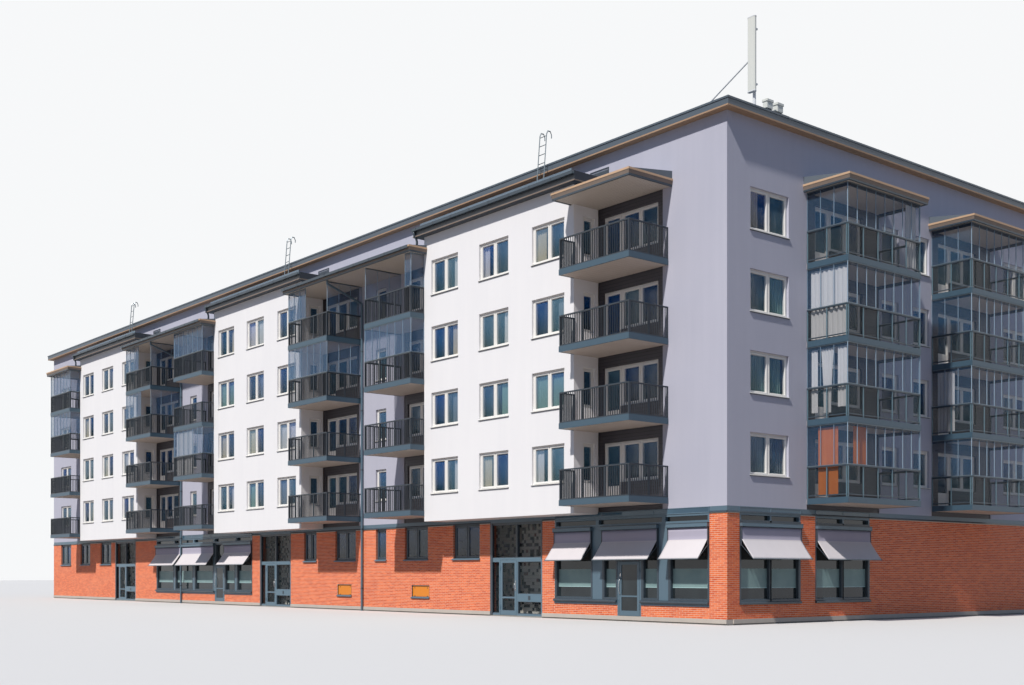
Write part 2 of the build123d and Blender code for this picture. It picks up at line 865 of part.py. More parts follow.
def make_shop_fronts():
    leaf, panes = shop_layout(shop_1[0], shop_1_length, shop_1_windows, shop_1_pilasters, shop_1_door)
    parts["shop_door_1"], parts["shop_door_1_glass"] = [leaf], panes
    pitch = shop_2_window_width + shop_2_pilaster_width
    door_end = shop_2_door + shop_door_width + 2 * door_gap + frame_size
    windows, pilasters = [], []
    at = joint_gap
    while at + shop_2_window_width <= shop_2_door - frame_size:
        windows.append((at, shop_2_window_width))
        at += shop_2_window_width
        width = min(shop_2_pilaster_width, shop_2_door - frame_size - at)
        pilasters.append((at, width))
        at += width
    windows.append((at, shop_2_door - frame_size - joint_gap - at))
    length = shop_2[1] - shop_2[0]
    count = int((length - door_end) // pitch)
    step = (length - door_end) / count
    for i in range(count):
        start = door_end + step * i
        pilasters.append((start, shop_2_pilaster_width))
        windows.append((start + shop_2_pilaster_width, step - shop_2_pilaster_width))
    leaf, panes = shop_layout(shop_2[0], length, windows, pilasters, shop_2_door)
    parts["shop_door_2"], parts["shop_door_2_glass"] = [leaf], panes
    for i, width in end_shop_windows:
        f, d, t = frame_size, frame_depth, glass_thickness
        frame = end(i, i + width, -d, 0, shop_sill, brick_top)
        half = i + width / 2
        for i0, i1 in ((i + f, half - f / 2), (half + f / 2, i + width - f)):
            frame = frame - end(i0, i1, -d, 0, shop_sill + f, shop_head)
            frame = frame - end(i0, i1, -d, 0, shop_head + f, brick_top - f)
        pane = end(i, i + width, -d - t, -d, shop_sill, brick_top)
        shop_frames.extend(both_ends([frame]))
        shop_glass.extend(both_ends([pane]))
    for start, width in front_windows():
        d, t = frame_depth, glass_thickness
        shop_glass.append(
            front(start, start + width, -d - t, -d, high_window_sill, brick_top)
        )
    parts["shop_frames"] = shop_frames
    parts["shop_glass"] = shop_glass
    parts["shop_sill_walls"] = sill_walls


def make_awnings():
    boxes, cloths = [], []
    start = shop_1[0]
    places = [
        (start + joint_gap, start + shop_1_pilasters[0][0]),
        (start + shop_1_pilasters[0][0] + shop_1_pilasters[0][1], start + shop_1_pilasters[1][0]),
        (start + shop_1_pilasters[1][0] + shop_1_pilasters[1][1], start + shop_1_length),
    ]
    door_a = shop_2[0] + shop_2_door
    door_b = door_a + shop_door_width + 2 * door_gap
    pipe = pipe_place(mids[1])
    clear = 2 * pipe_radius
    places += [
        (shop_2[0] + joint_gap, door_a - frame_size),
        (door_b + frame_size, pipe - clear),
        (pipe + clear, shop_2[1] - joint_gap),
    ]
    for a0, a1 in places:
        box, cloth = awning(a0, a1, section_along)
        boxes.append(box)
        cloths.append(cloth)
    end_boxes, end_cloths = [], []
    for i, width in end_shop_windows:
        box, cloth = awning(i, i + width, section_in)
        end_boxes.append(box)
        end_cloths.append(cloth)
    parts["awning_boxes"] = boxes + both_ends(end_boxes)
    parts["awning_cloths"] = cloths + both_ends(end_cloths)


def make_entrances():
    f, d, t = frame_size, frame_depth, glass_thickness
    frames, glass, leaves, leaf_panes = [], [], [], []
    z0 = ground_slab_top
    head = z0 + entrance_door_height + door_gap
    for a, b in entrances:
        door_a = a + entrance_door_offset
        door_b = door_a + entrance_door_width + 2 * door_gap
        near = front(a, door_a, -d, 0, z0, head - joint_gap)
        letterbox_top = letterbox_sill + letterbox_height
        near = near - front(a + f, door_a - f, -d, 0, z0 + f, letterbox_sill)
        near = near - front(a + f, door_a - f, -d, 0, letterbox_top, head - joint_gap - f)
        far = framed(door_b, b, z0, head - joint_gap)
        if len(leaves) < hinged_entrances:
            low, high = z0 + door_gap, z0 + entrance_door_height
            leaf, panes = door_leaf(door_a + door_gap, door_b - door_gap, low, high)
            leaf, far = hang(leaf, far, door_b - door_gap / 2, -1, low, high)
        else:
            leaf, panes = door_leaf(door_a, door_b, z0, head - joint_gap)
        over = front(a, b, -d, 0, head, brick_top)
        over = over - front(a + f, door_a - f / 2, -d, 0, head + f, brick_top - f)
        over = over - front(door_a + f / 2, b - f, -d, 0, head + f, brick_top - f)
        frames += [near, far, over]
        glass.append(front(a, b, -d - t, -d, head, brick_top))
        glass.append(front(a, door_a, -d - t, -d, z0, head - joint_gap))
        glass.append(front(door_b, b, -d - t, -d, z0, head - joint_gap))
        leaves.append(leaf)
        leaf_panes.append(panes)
    parts["entrance_door_1"], parts["entrance_door_1_glass"] = [leaves[0]], leaf_panes[0]
    parts["entrance_door_2"], parts["entrance_door_2_glass"] = [leaves[1]], leaf_panes[1]
    parts["entrance_door_3"] = [leaves[2]]
    parts["entrance_frames"] = frames
    parts["entrance_glass"] = glass + leaf_panes[2]
    ceiling = first_floor_top - floor_thickness
    parts["lobby_walls"] = [
        front(a, b, -lobby_depth - lobby_wall_thickness, -lobby_depth, z0, ceiling)
        for a, b in entrances
    ]


# Rainwater pipes, roof fittings and the antenna
def gutter_section(out, top):
    """A square channel that hangs on an edge at this place, as (out, z) points."""
    r, w = gutter_radius, gutter_wall
    return [(out, top), (out, top - 2 * r), (out + 2 * r, top - 2 * r), (out + 2 * r, top),
            (out + 2 * r - w, top), (out + 2 * r - w, top - 2 * r + w), (out + w, top - 2 * r + w),
            (out + w, top)]


def pipe_place(mid):
    """Where a middle wall's pipe runs: near its far edge."""
    return mid[1] - 2 * pipe_radius


def make_rainwater():
    gutters = []
    out = bay_projection + bay_roof_overhang
    for a, b in bays:
        section = gutter_section(out, bay_eave + bay_edge_height - gutter_wall)
        gutters.append(
            section_along(section, a - bay_roof_side_overhang, b + bay_roof_side_overhang)
        )
    canopy_out = balcony_projection + canopy_overhang
    for first, last in ((1, 2), (3, 4)):
        section = gutter_section(canopy_out, canopy_eave + canopy_edge_height - gutter_wall)
        a, b = stacks[first][0] - canopy_overhang, stacks[last][1] + canopy_overhang
        gutters.append(section_along(section, a, b))
    parts["gutters"] = gutters
    pipes = []
    start_y = -half_width - canopy_out + pipe_set_back
    wall_y = -half_width - pipe_stand_off
    for mid in mids:
        x = along(pipe_place(mid))
        route = [
            (x, start_y, canopy_eave),
            (x, start_y, canopy_eave - pipe_drop),
            (x, wall_y, canopy_eave - pipe_drop - pipe_fall),
            (x, wall_y, 0),
        ]
        pipes.append(tube(route, pipe_radius))
    parts["downpipes"] = pipes


def make_roof_ladders():
    """Ladders from the bay roofs to the main roof, whose stiles curve in over its edge."""
    slope_out = bay_projection + bay_roof_overhang
    top_out = roof_overhang + ladder_clearance
    foot_out = top_out + ladder_lean
    foot_z = bay_eave + bay_edge_height + bay_roof_rise * (1 - foot_out / slope_out)
    top = roof_edge_top + ladder_rise
    r = hook_radius
    ladders = []
    for (a, b), bay_roof in zip(bays, parts["bay_roofs"]):
        start = a + ladder_offset
        y0, y1 = -half_width - foot_out, -half_width - top_out
        ladder = None
        for x in (along(start), along(start + ladder_width)):
            path = [
                (x, y0, foot_z),
                (x, y1, top),
                (x, y1 + r / 2, top + r),
                (x, y1 + r * 3 / 2, top + r),
                (x, y1 + 2 * r, top),
                (x, y1 + 2 * r, top - r),
            ]
            stile_tube = tube(path, ladder_tube, 4)
            ladder = stile_tube if ladder is None else ladder + stile_tube
        for i in range(1, int((top - foot_z) // rung_pitch) + 1):
            share = i * rung_pitch / (top - foot_z)
            y, z = y0 + (y1 - y0) * share, foot_z + i * rung_pitch
            ends = [(along(start), y, z), (along(start + ladder_width), y, z)]
            ladder = ladder + tube(ends, rung_radius, 4)
        ladders.append(ladder - bay_roof)
    parts["roof_ladders"] = ladders


def make_antenna():
    x, y = along(antenna_along), inward(antenna_in)
    base = roof_edge_top
    roof = parts["roof"][0]
    width, depth, height = antenna_panel_size
    low = base + antenna_panel_lift
    pole_y = y + depth / 2 + antenna_pole_radius
    pole = tube([(x, pole_y, base), (x, pole_y, low + height - pole_drop)], antenna_pole_radius, 8)
    strut_ends = [(x - antenna_strut_reach, pole_y, base), (x, pole_y, low + height / 2)]
    strut = tube(strut_ends, antenna_pole_radius / 2)
    parts["antenna_mast"] = [pole + strut - roof]
    panel = block(x - width / 2, x + width / 2, y - depth / 2, y + depth / 2, low, low + height)
    parts["antenna_panel"] = [chamfer(panel.edges().filter_by(Axis.Z), antenna_panel_chamfer)]
    w, d, h = radio_unit_size
    x0 = x + radio_unit_offset
    parts["radio_units"] = [
        block(x0, x0 + w, y + reach, y + reach + d, base, base + h) - roof for reach in radio_unit_reaches
    ]


make_floors()
make_front_piers()
make_balcony_back_walls()
make_bays()
make_bay_roofs()
make_end_walls()
make_back_wall()
make_attic_walls()
make_window_glass()
make_balconies()
make_balcony_glazing()
make_canopies()
make_roof()
make_brick_walls()
make_plinths_and_band()
make_shop_fronts()
make_awnings()
make_entrances()
make_rainwater()
make_roof_ladders()
make_antenna()

os.makedirs("parts", exist_ok=True)
for name, solids in parts.items():
    export_step(Compound(label=name, children=list(solids)), f"parts/{name}.step")
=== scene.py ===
import math

import bmesh
import bpy
import numpy as np
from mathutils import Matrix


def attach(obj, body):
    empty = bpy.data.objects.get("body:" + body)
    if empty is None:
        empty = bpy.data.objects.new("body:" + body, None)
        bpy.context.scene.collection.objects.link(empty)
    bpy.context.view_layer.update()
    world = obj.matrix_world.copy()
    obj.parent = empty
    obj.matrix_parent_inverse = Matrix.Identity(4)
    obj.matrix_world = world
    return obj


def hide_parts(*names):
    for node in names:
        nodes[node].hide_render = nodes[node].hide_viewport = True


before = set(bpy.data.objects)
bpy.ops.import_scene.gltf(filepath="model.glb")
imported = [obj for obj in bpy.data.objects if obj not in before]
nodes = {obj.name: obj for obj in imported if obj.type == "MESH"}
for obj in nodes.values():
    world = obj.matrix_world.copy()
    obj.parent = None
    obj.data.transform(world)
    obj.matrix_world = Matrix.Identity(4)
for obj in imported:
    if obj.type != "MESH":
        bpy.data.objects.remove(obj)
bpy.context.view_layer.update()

# The camera stands across from the near corner, level, with its lens raised as an architect's shift lens is.
corner_x, corner_y = 15.4325, 5.045
camera_data = bpy.data.cameras.new("street_camera")
camera_data.lens = 44.19
camera_data.sensor_width = 36
camera_data.shift_y = 0.2264
camera_data.clip_end = 400
camera = bpy.data.objects.new("street_camera", camera_data)
camera.location = (corner_x + 13.51, -corner_y - 15.59, 0.829)
camera.rotation_euler = (math.pi / 2, 0, math.atan2(0.773, 0.6345))
bpy.context.scene.collection.objects.link(camera)
bpy.context.scene.camera = camera


# Light: a pale room, and one broad lamp that falls on the long face as the afternoon sun does.
def add_node(tree, kind, links=None, **settings):
    """A setting is one of the node's own, or else the value of an input; a link feeds an input."""
    made = tree.nodes.new(kind)
    for key, value in settings.items():
        if hasattr(made, key):
            setattr(made, key, value)
        else:
            made.inputs[key.replace("_", " ")].default_value = value
    for socket, source in (links or {}).items():
        tree.links.new(source, made.inputs[socket])
    return made


bpy.context.scene.view_settings.view_transform = "Standard"
world = bpy.data.worlds.new("pale_room")
bpy.context.scene.world = world
world.use_nodes = True
tree = world.node_tree
tree.nodes.clear()
room = add_node(tree, "ShaderNodeBackground", Color=(0.42, 0.63, 1.0, 1), Strength=0.35)
backdrop = add_node(tree, "ShaderNodeBackground", Color=(0.93, 0.94, 0.95, 1), Strength=1.0)
ray = add_node(tree, "ShaderNodeLightPath").outputs
either = add_node(tree, "ShaderNodeMath", {0: ray["Is Camera Ray"], 1: ray["Is Glossy Ray"]},
                  operation="MAXIMUM")
direct = add_node(tree, "ShaderNodeMath", {0: either.outputs[0], 1: ray["Is Transmission Ray"]},
                  operation="MAXIMUM")
choice = add_node(tree, "ShaderNodeMixShader",
                  {"Fac": direct.outputs[0], 1: room.outputs[0], 2: backdrop.outputs[0]})
add_node(tree, "ShaderNodeOutputWorld", {"Surface": choice.outputs[0]})

sun_data = bpy.data.lights.new("broad_lamp", "SUN")
sun_data.energy = 4.2
sun_data.angle = math.radians(2)
sun_data.color = (1.0, 0.955, 0.90)
sun = bpy.data.objects.new("broad_lamp", sun_data)
sun_height, sun_turn = math.radians(50), math.radians(14)
sun.rotation_euler = (math.pi / 2 - sun_height, 0, sun_turn)
bpy.context.scene.collection.objects.link(sun)


# Rendered walls: blockwork under a mineral render that is floated on by hand over fine sand. The piers, short
# faces, yard side and attic are tinted grey and the bays are white, and rain leaves clouds and faint streaks.
def linear(colour):
    """A colour written from 0 to 255 in sRGB is made linear.

    Each channel above 0.04045 is raised, from its place between 0.055 and 1.055, to the power 2.4.
    """
    c = np.array(colour, float) / 255
    c = np.where(c <= 0.04045, c / 12.92, ((c + 0.055) / 1.055) ** 2.4)
    return (*c, 1.0)


weather_group = bpy.data.node_groups.new("weather", "ShaderNodeTree")
for way, socket, kind, value in (("INPUT", "Place", "Vector", None), ("INPUT", "Clouds", "Float", 0.5),
                                 ("INPUT", "Streaks", "Float", 0.5), ("INPUT", "Grain Size", "Float", 60.0),
                                 ("OUTPUT", "Mask", "Float", None), ("OUTPUT", "Grain", "Float", None)):
    made = weather_group.interface.new_socket(name=socket, in_out=way, socket_type="NodeSocket" + kind)
    if value is not None:
        made.default_value = value
given = add_node(weather_group, "NodeGroupInput").outputs
where = given["Place"]
cloud = add_node(weather_group, "ShaderNodeTexNoise", {"Vector": where}, Scale=0.55, Detail=5)
squeeze = add_node(weather_group, "ShaderNodeMapping", {"Vector": where}, Scale=(7, 7, 0.5))
streak = add_node(weather_group, "ShaderNodeTexNoise", {"Vector": squeeze.outputs[0]}, Scale=1.0, Detail=3)
grain = add_node(weather_group, "ShaderNodeTexNoise", {"Vector": where, "Scale": given["Grain Size"]},
                 Detail=4)
clouds = add_node(weather_group, "ShaderNodeMath", {0: cloud.outputs["Fac"], 1: given["Clouds"]},
                  operation="MULTIPLY")
mask = add_node(weather_group, "ShaderNodeMath",
                {0: streak.outputs["Fac"], 1: given["Streaks"], 2: clouds.outputs[0]},
                operation="MULTIPLY_ADD")
add_node(weather_group, "NodeGroupOutput", {"Mask": mask.outputs[0], "Grain": grain.outputs["Fac"]})


class Finish:
    """A Principled material whose nodes are wired one a line, on the block's own Object coordinates."""

    def __init__(self, name, colour, roughness, metallic=0.0):
        self.material = bpy.data.materials.new(name)
        self.material.use_nodes = True
        self.tree = self.material.node_tree
        self.shader = self.tree.nodes["Principled BSDF"]
        self.shader.inputs["Base Color"].default_value = linear(colour)
        self.shader.inputs["Roughness"].default_value = roughness
        self.shader.inputs["Metallic"].default_value = metallic
        self.place = self.node("ShaderNodeTexCoord").outputs["Object"]

    def node(self, kind, links=None, **settings):
        return add_node(self.tree, kind, links, **settings)

    def feed(self, socket, source):
        self.tree.links.new(source, self.shader.inputs[socket])

    def mix(self, share, first, second):
        made = self.node("ShaderNodeMix", {0: share}, data_type="RGBA")
        for socket, value in ((6, first), (7, second)):
            if isinstance(value, tuple):
                made.inputs[socket].default_value = linear(value)
            else:
                self.tree.links.new(value, made.inputs[socket])
        return made.outputs[2]

    def math(self, operation, first, second=0.0, third=0.0):
        made = self.node("ShaderNodeMath", operation=operation)
        for i, value in enumerate((first, second, third)):
            if isinstance(value, (int, float)):
                made.inputs[i].default_value = value
            else:
                self.tree.links.new(value, made.inputs[i])
        return made.outputs[0]

    def bump(self, height, distance, strength=1.0):
        made = self.node("ShaderNodeBump", {"Height": height}, Distance=distance, Strength=strength)
        self.feed("Normal", made.outputs["Normal"])

    def along(self, axis):
        return self.node("ShaderNodeSeparateXYZ", {"Vector": self.place}).outputs[axis]

    def field(self, name):
        return self.node("ShaderNodeAttribute", attribute_name=name).outputs["Fac"]

    def weather(self, clouds, streaks, grain_size):
        return self.node("ShaderNodeGroup", {"Place": self.place}, node_tree=weather_group, Clouds=clouds,
                         Streaks=streaks, Grain_Size=grain_size).outputs


def weathered(name, tone, second_tone, roughness=0.8, metallic=0.0, clouds=0.6, streaks=0.4,
              grain_size=60.0, relief=0.0006):
    """A two-tone finish: the weather mask mixes the tones, and its grain varies the roughness."""
    finish = Finish(name, tone, roughness, metallic)
    mark = finish.weather(clouds, streaks, grain_size)
    finish.feed("Base Color", finish.mix(mark["Mask"], tone, second_tone))
    finish.feed("Roughness", finish.math("MULTIPLY_ADD", mark["Grain"], 0.16, roughness - 0.08))
    finish.bump(mark["Grain"], relief)
    return finish


def dress(finish, *names):
    """Gives a finish to CAD nodes that are shown as they are."""
    for name in names:
        materials = nodes[name].data.materials
        materials.clear()
        materials.append(finish.material)


grey_render = weathered("grey_render", (190, 190, 204), (168, 170, 186), 0.92, clouds=0.55, streaks=0.35,
                        grain_size=110.0, relief=0.0012)
white_render = weathered("white_render", (241, 240, 241), (226, 226, 229), 0.9, clouds=0.5, grain_size=110.0,
                         relief=0.0012)
dress(grey_render, "front_piers", "end_walls", "back_wall", "attic_walls")
dress(white_render, "bay_fronts", "bay_sides", "bay_soffits")


# Dark cladding behind the balconies: narrow coated timber boards, nailed up one over the next from below, so
# that each leaves a shadow line over the one beneath it, every 60 mm.
def boarded(finish, axis, board, gap, plain, gap_colour, steepness, depth):
    """How far a point is across its board, from 0 to 1, colours the gap at its start and slopes its edge."""
    across = finish.math("FRACT", finish.math("DIVIDE", finish.along(axis), board))
    finish.bump(finish.math("MINIMUM", finish.math("MULTIPLY", across, steepness), 1.0), depth)
    return finish.mix(finish.math("LESS_THAN", across, gap), plain, gap_colour)


cladding = Finish("dark_cladding", (58, 55, 62), 0.55)
coat = cladding.mix(cladding.weather(0.6, 0.3, 30.0)["Mask"], (66, 63, 70), (50, 48, 55))
cladding.feed("Base Color", boarded(cladding, "Z", 0.06, 0.14, coat, (24, 23, 27), 6.0, 0.004))
dress(cladding, "balcony_back_walls")

# Brick walls: the ground floor is faced with fired orange-red bricks, 130 by 33 mm at 1:2 scale. They are
# laid in half bond on pale mortar, and cut where an opening or a corner ends a course.
brick_length, brick_height, joint, brick_proud = 0.130, 0.03335, 0.0065, 0.0014
brick_foot, brick_top = 0.095, 1.845
corner_pier, stack, bay, middle, end_pier = 1.3, 1.73, 4.57, 1.55, 2.375
widths = [corner_pier, stack, bay, stack, middle, stack, bay, stack, middle, stack, bay, stack, end_pier]
edges = np.concatenate([[0], np.cumsum(widths)])
stack_starts, bay_starts, middle_starts = edges[[1, 3, 5, 7, 9, 11]], edges[[2, 6, 10]], edges[[4, 8]]
block_length, block_width = 2 * corner_x, 2 * corner_y
shop_sill, shop_head, high_sill = 0.37, 1.685, 1.15
shop_starts, shop_ends = np.array([0.375, bay_starts[1] + 3.565]), np.array([4.215, stack_starts[4] + stack])
door_starts = shop_starts + np.array([1.61, 1.62])
door_ends = door_starts + 0.51
entrance_starts, entrance_width = bay_starts + 1.545, 1.585
high_windows = [(bay_starts[0] + 3.48, 0.895), (bay_starts[2] + 3.48, 0.895), (stack_starts[1] + 0.7, 0.87),
                (middle_starts[0] + middle / 2 - 0.21, 0.42), (stack_starts[2] + 0.27, 0.9),
                (bay_starts[1] + 0.3, 0.605), (stack_starts[5] + 0.7, 0.87),
                (block_length - end_pier / 2 - 0.475, 0.95)]
hatches = [(stack_starts[1] + 0.65, 0.65), (stack_starts[2] + 0.455, 0.615)]
hatch_sill, hatch_top = 0.345, 0.595
end_shop_windows = [(0.305, 1.59), (2.3, 1.59)]
yard_pitch = block_length / 12
draw = np.random.default_rng(7)


def wall_axes(along, out, corner):
    """A wall's axes are a matrix's columns: u along it, out from its face, z up. It starts at a corner."""
    return np.array([(*along, 0), (*out, 0), (0, 0, 1.0)]).T, np.array([*corner, 0])


street = wall_axes((-1, 0), (0, -1), (corner_x, -corner_y))
near_end = wall_axes((0, 1), (1, 0), (corner_x, -corner_y))
far_end = wall_axes((0, 1), (-1, 0), (-corner_x, -corner_y))
yard = wall_axes((1, 0), (0, 1), (-corner_x, corner_y))
short_faces = near_end, far_end


def laid(u0, u1, z0, z1, holes=()):
    """Bricks as rows of u0, u1, z0, z1: courses one brick's height apart, each second one set on by half.

    Each course is first cut where a hole crosses it, and the bricks are cut to what is left.
    """
    found = []
    for k in range(int((z1 - z0) / brick_height + 0.3)):
        low = z0 + k * brick_height + joint / 2
        high = low + brick_height - joint
        clear = [(u0, u1)]
        for a, b, c, d in holes:
            if c < high and d > low:
                clear = ([(p, min(q, a)) for p, q in clear if p < a]
                         + [(max(p, b), q) for p, q in clear if q > b])
        for a, b in clear:
            first = int(np.floor(a / brick_length)) - 1
            last = int(np.ceil(b / brick_length)) + 1
            start = (np.arange(first, last) + 0.5 * (k % 2)) * brick_length
            near = np.maximum(start + joint / 2, a)
            far = np.minimum(start + brick_length - joint / 2, b)
            keep = far - near > 0.01
            level = np.ones(keep.sum())
            found.append(np.stack([near[keep], far[keep], low * level, high * level], -1))
    return np.concatenate(found)


def net(rows, columns, ends_meet=False, sides_meet=True):
    """Faces of a net of points: each point is joined to the next of its row and the next of its column."""
    way_down, way_across = np.arange(rows - (not ends_meet)), np.arange(columns - (not sides_meet))
    i, j = np.meshgrid(way_down, way_across, indexing="ij")
    i2, j2 = (i + 1) % rows, (j + 1) % columns
    corners = [i * columns + j, i * columns + j2, i2 * columns + j2, i2 * columns + j]
    return np.stack(corners, -1).reshape(-1, 4)


def again(faces, count, stride):
    """The same faces for each of this many like shapes, whose points follow one another."""
    return (faces + (np.arange(count) * stride)[:, None, None]).reshape(-1, faces.shape[1]).tolist()


def tube(count, rings, steps):
    """Faces of like closed tubes, each of some rings of points: the net between them, and its two caps."""
    ring = np.arange(steps)
    caps = np.stack([ring[::-1], (rings - 1) * steps + ring])
    return again(net(rings, steps), count, rings * steps) + again(caps, count, rings * steps)


def spans(u, out, z):
    """Opposite corners of like boxes, from the two limits along each axis; one number serves them all."""
    return [np.stack(np.broadcast_arrays(*limits), -1) for limits in zip(u, out, z)]


def lengths(low, high, axis, edge=0.0):
    """Straight pieces between opposite corners: a rectangle with cut corners is carried along one axis."""
    low, high = np.atleast_2d(low).astype(float), np.atleast_2d(high).astype(float)
    low, high = np.minimum(low, high), np.maximum(low, high)
    side = np.array([[0, 0, 0, 0], [1, 0, 0, 0], [1, 0, 1, 0], [0, 0, 1, 0]])
    if edge > 0:
        side = np.array([[0, 1, 0, 0], [1, -1, 0, 0], [1, 0, 0, 1], [1, 0, 1, -1],
                         [1, -1, 1, 0], [0, 1, 1, 0], [0, 0, 1, -1], [0, 0, 0, 1]])
    points = np.zeros((len(low), 2, len(side), 3))
    first, second = ((1, 2), (2, 0), (0, 1))[axis]
    for k, (share, cut) in ((first, side[:, :2].T), (second, side[:, 2:].T)):
        points[..., k] = (low[:, [k]] + share * (high - low)[:, [k]] + cut * edge)[:, None]
    points[:, 0, :, axis] = low[:, [axis]]
    points[:, 1, :, axis] = high[:, [axis]]
    return points.reshape(-1, 3), tube(len(low), 2, len(side))


def gather(*parts):
    """Joins (points, faces) pairs into one, by counting each pair's faces on from the points before it."""
    points, faces, count = [], [], 0
    for found, quads in parts:
        points.append(found)
        faces += [tuple(k + count for k in face) for face in quads]
        count += len(found)
    return np.concatenate(points), faces


def place(part, wall):
    """Points are turned by the wall's matrix and moved to its corner; mirrored faces run the other way."""
    (points, faces), (turn, corner) = part, wall
    if np.linalg.det(turn) < 0:
        faces = [face[::-1] for face in faces]
    return points @ turn.T + corner, faces


def piece(name, part, finish, slot, body="building", smooth=False, **fields):
    """One object, at the origin, that rides on a body. A field is a value for each of its points."""
    points, faces = part
    data = bpy.data.meshes.new(name)
    data.from_pydata(points.tolist(), [], faces)
    data.materials.append(finish.material)
    data.update()
    if smooth:
        data.polygons.foreach_set("use_smooth", np.ones(len(data.polygons), bool))
    for field, values in fields.items():
        data.attributes.new(field, "FLOAT", "POINT").data.foreach_set("value", values.astype(np.float32))
    made = bpy.data.objects.new(name, data)
    bpy.context.scene.collection.objects.link(made)
    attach(made, body)
    return made


def closed(name, parts, finish, slot, wall=None, **more):
    """A piece gathered from closed parts, placed on a wall if one is named, its faces turned outwards."""
    part = gather(*parts)
    made = piece(name, place(part, wall) if wall else part, finish, slot, **more)
    shape = bmesh.new()
    shape.from_mesh(made.data)
    bmesh.ops.recalc_face_normals(shape, faces=shape.faces)
    shape.to_mesh(made.data)
    shape.free()
    return made


def brickwork(name, wall, fields):
    """Raises each brick of these fields from its wall and gives it its own tone."""
    a, b, low, high = np.concatenate([laid(*field) for field in fields]).T
    proud = brick_proud + draw.random(len(a)) * 0.0004
    bricks = lengths(*spans((a, b), (-0.001, proud), (low, high)), 0)
    closed(name, [bricks], brick, "brick", wall, tone=np.repeat(draw.random(len(a)), 8))


brick = Finish("brick", (216, 106, 64), 0.82)
mark = brick.weather(0.9, 0.3, 130.0)
fired = brick.mix(brick.field("tone"), (246, 130, 76), (216, 96, 52))
brick.feed("Base Color", brick.mix(brick.math("MULTIPLY", mark["Grain"], 0.22), fired, (150, 66, 42)))
brick.bump(mark["Grain"], 0.0015)
street_holes = [(a, a + w, high_sill, brick_top) for a, w in high_windows]
street_holes += [(a, a + w, hatch_sill, hatch_top) for a, w in hatches]
stops = sorted([*zip(shop_starts, shop_ends), *zip(entrance_starts, entrance_starts + entrance_width)])
ends_of_brick = [-brick_proud] + [edge for stop in stops for edge in stop] + [block_length + brick_proud]
street_fields = [(a, b, brick_foot, brick_top, street_holes)
                 for a, b in zip(ends_of_brick[::2], ends_of_brick[1::2])]
for a, b, c, d in zip(shop_starts, door_starts - 0.04, door_ends + 0.04, shop_ends):
    street_fields += [(a, b, brick_foot, 0.29), (c, d, brick_foot, 0.29)]
end_holes = [(a, a + w, shop_sill, brick_top) for a, w in end_shop_windows]
yard_holes = [(u - 0.45, u + 0.45, high_sill, shop_head) for u in yard_pitch * (np.arange(12) + 0.5)]
brickwork("bricks_street", street, street_fields)
brickwork("bricks_near_end", near_end, [(0, block_width, brick_foot, brick_top, end_holes)])
brickwork("bricks_far_end", far_end, [(0, block_width, brick_foot, brick_top, end_holes)])
brickwork("bricks_yard", yard, [(0, block_length, brick_foot, brick_top, yard_holes)])

# Mortar bed: the wall behind the bricks, pointed with pale lime and cement mortar. In the reveals of the
# openings, where whole bricks turn the corner, it is coloured course by course as they are.
bed = Finish("mortar_bed", (205, 180, 160), 0.9)
past_side = bed.math("SUBTRACT", bed.math("ABSOLUTE", bed.along("X")), corner_x - 0.001)
past_front = bed.math("SUBTRACT", bed.math("ABSOLUTE", bed.along("Y")), corner_y - 0.001)
on_face = bed.math("GREATER_THAN", bed.math("MAXIMUM", past_side, past_front), 0.0)
course = bed.math("FRACT", bed.math("DIVIDE", bed.math("SUBTRACT", bed.along("Z"), brick_foot), brick_height))
from_middle = bed.math("ABSOLUTE", bed.math("SUBTRACT", course, 0.5))
in_brick = bed.math("LESS_THAN", from_middle, 0.5 - joint / brick_height / 2)
mark = bed.weather(0.6, 0.3, 90.0)
mortar = bed.mix(mark["Mask"], (244, 220, 200), (222, 194, 172))
bed.feed("Base Color", bed.mix(on_face, bed.mix(in_brick, mortar, (206, 98, 60)), mortar))
bed.bump(mark["Grain"], 0.0012)
dress(bed, "brick_front", "brick_ends", "brick_back", "shop_sill_walls")

# Concrete: the plinth, the floors and the slab that the block stands on. They are cast in place between
# boards and left plain, the floors darker than the plinth.
concrete = weathered("pale_concrete", (205, 197, 187), (178, 171, 163), 0.85, clouds=0.7, streaks=0.5,
                     grain_size=40.0, relief=0.001)
floor_concrete = weathered("floor_concrete", (160, 157, 151), (138, 135, 130), 0.85, grain_size=30.0)
dress(concrete, "plinths")
dress(floor_concrete, "ground_slab", "floor_2", "floor_3", "floor_4", "floor_5", "attic_floor")


# Painted steel: bands, shop frames, doors, awning boxes and downpipes are folded or welded from sheet and
# powder-coated blue-grey. The gutters get a darker coat, and so do the flashings and beads further on.
def painted(name, tone, second_tone, roughness, streaks):
    return weathered(name, tone, second_tone, roughness, clouds=0.5, streaks=streaks, grain_size=25.0,
                     relief=0.0002)


blue_steel = painted("blue_steel", (92, 115, 130), (78, 100, 115), 0.42, 0.3)
dark_steel = painted("dark_steel", (60, 73, 84), (47, 58, 68), 0.4, 0.2)
dress(blue_steel, "steel_band", "shop_frames", "awning_boxes", "shop_door_1", "shop_door_2", "downpipes")
dress(dark_steel, "gutters")

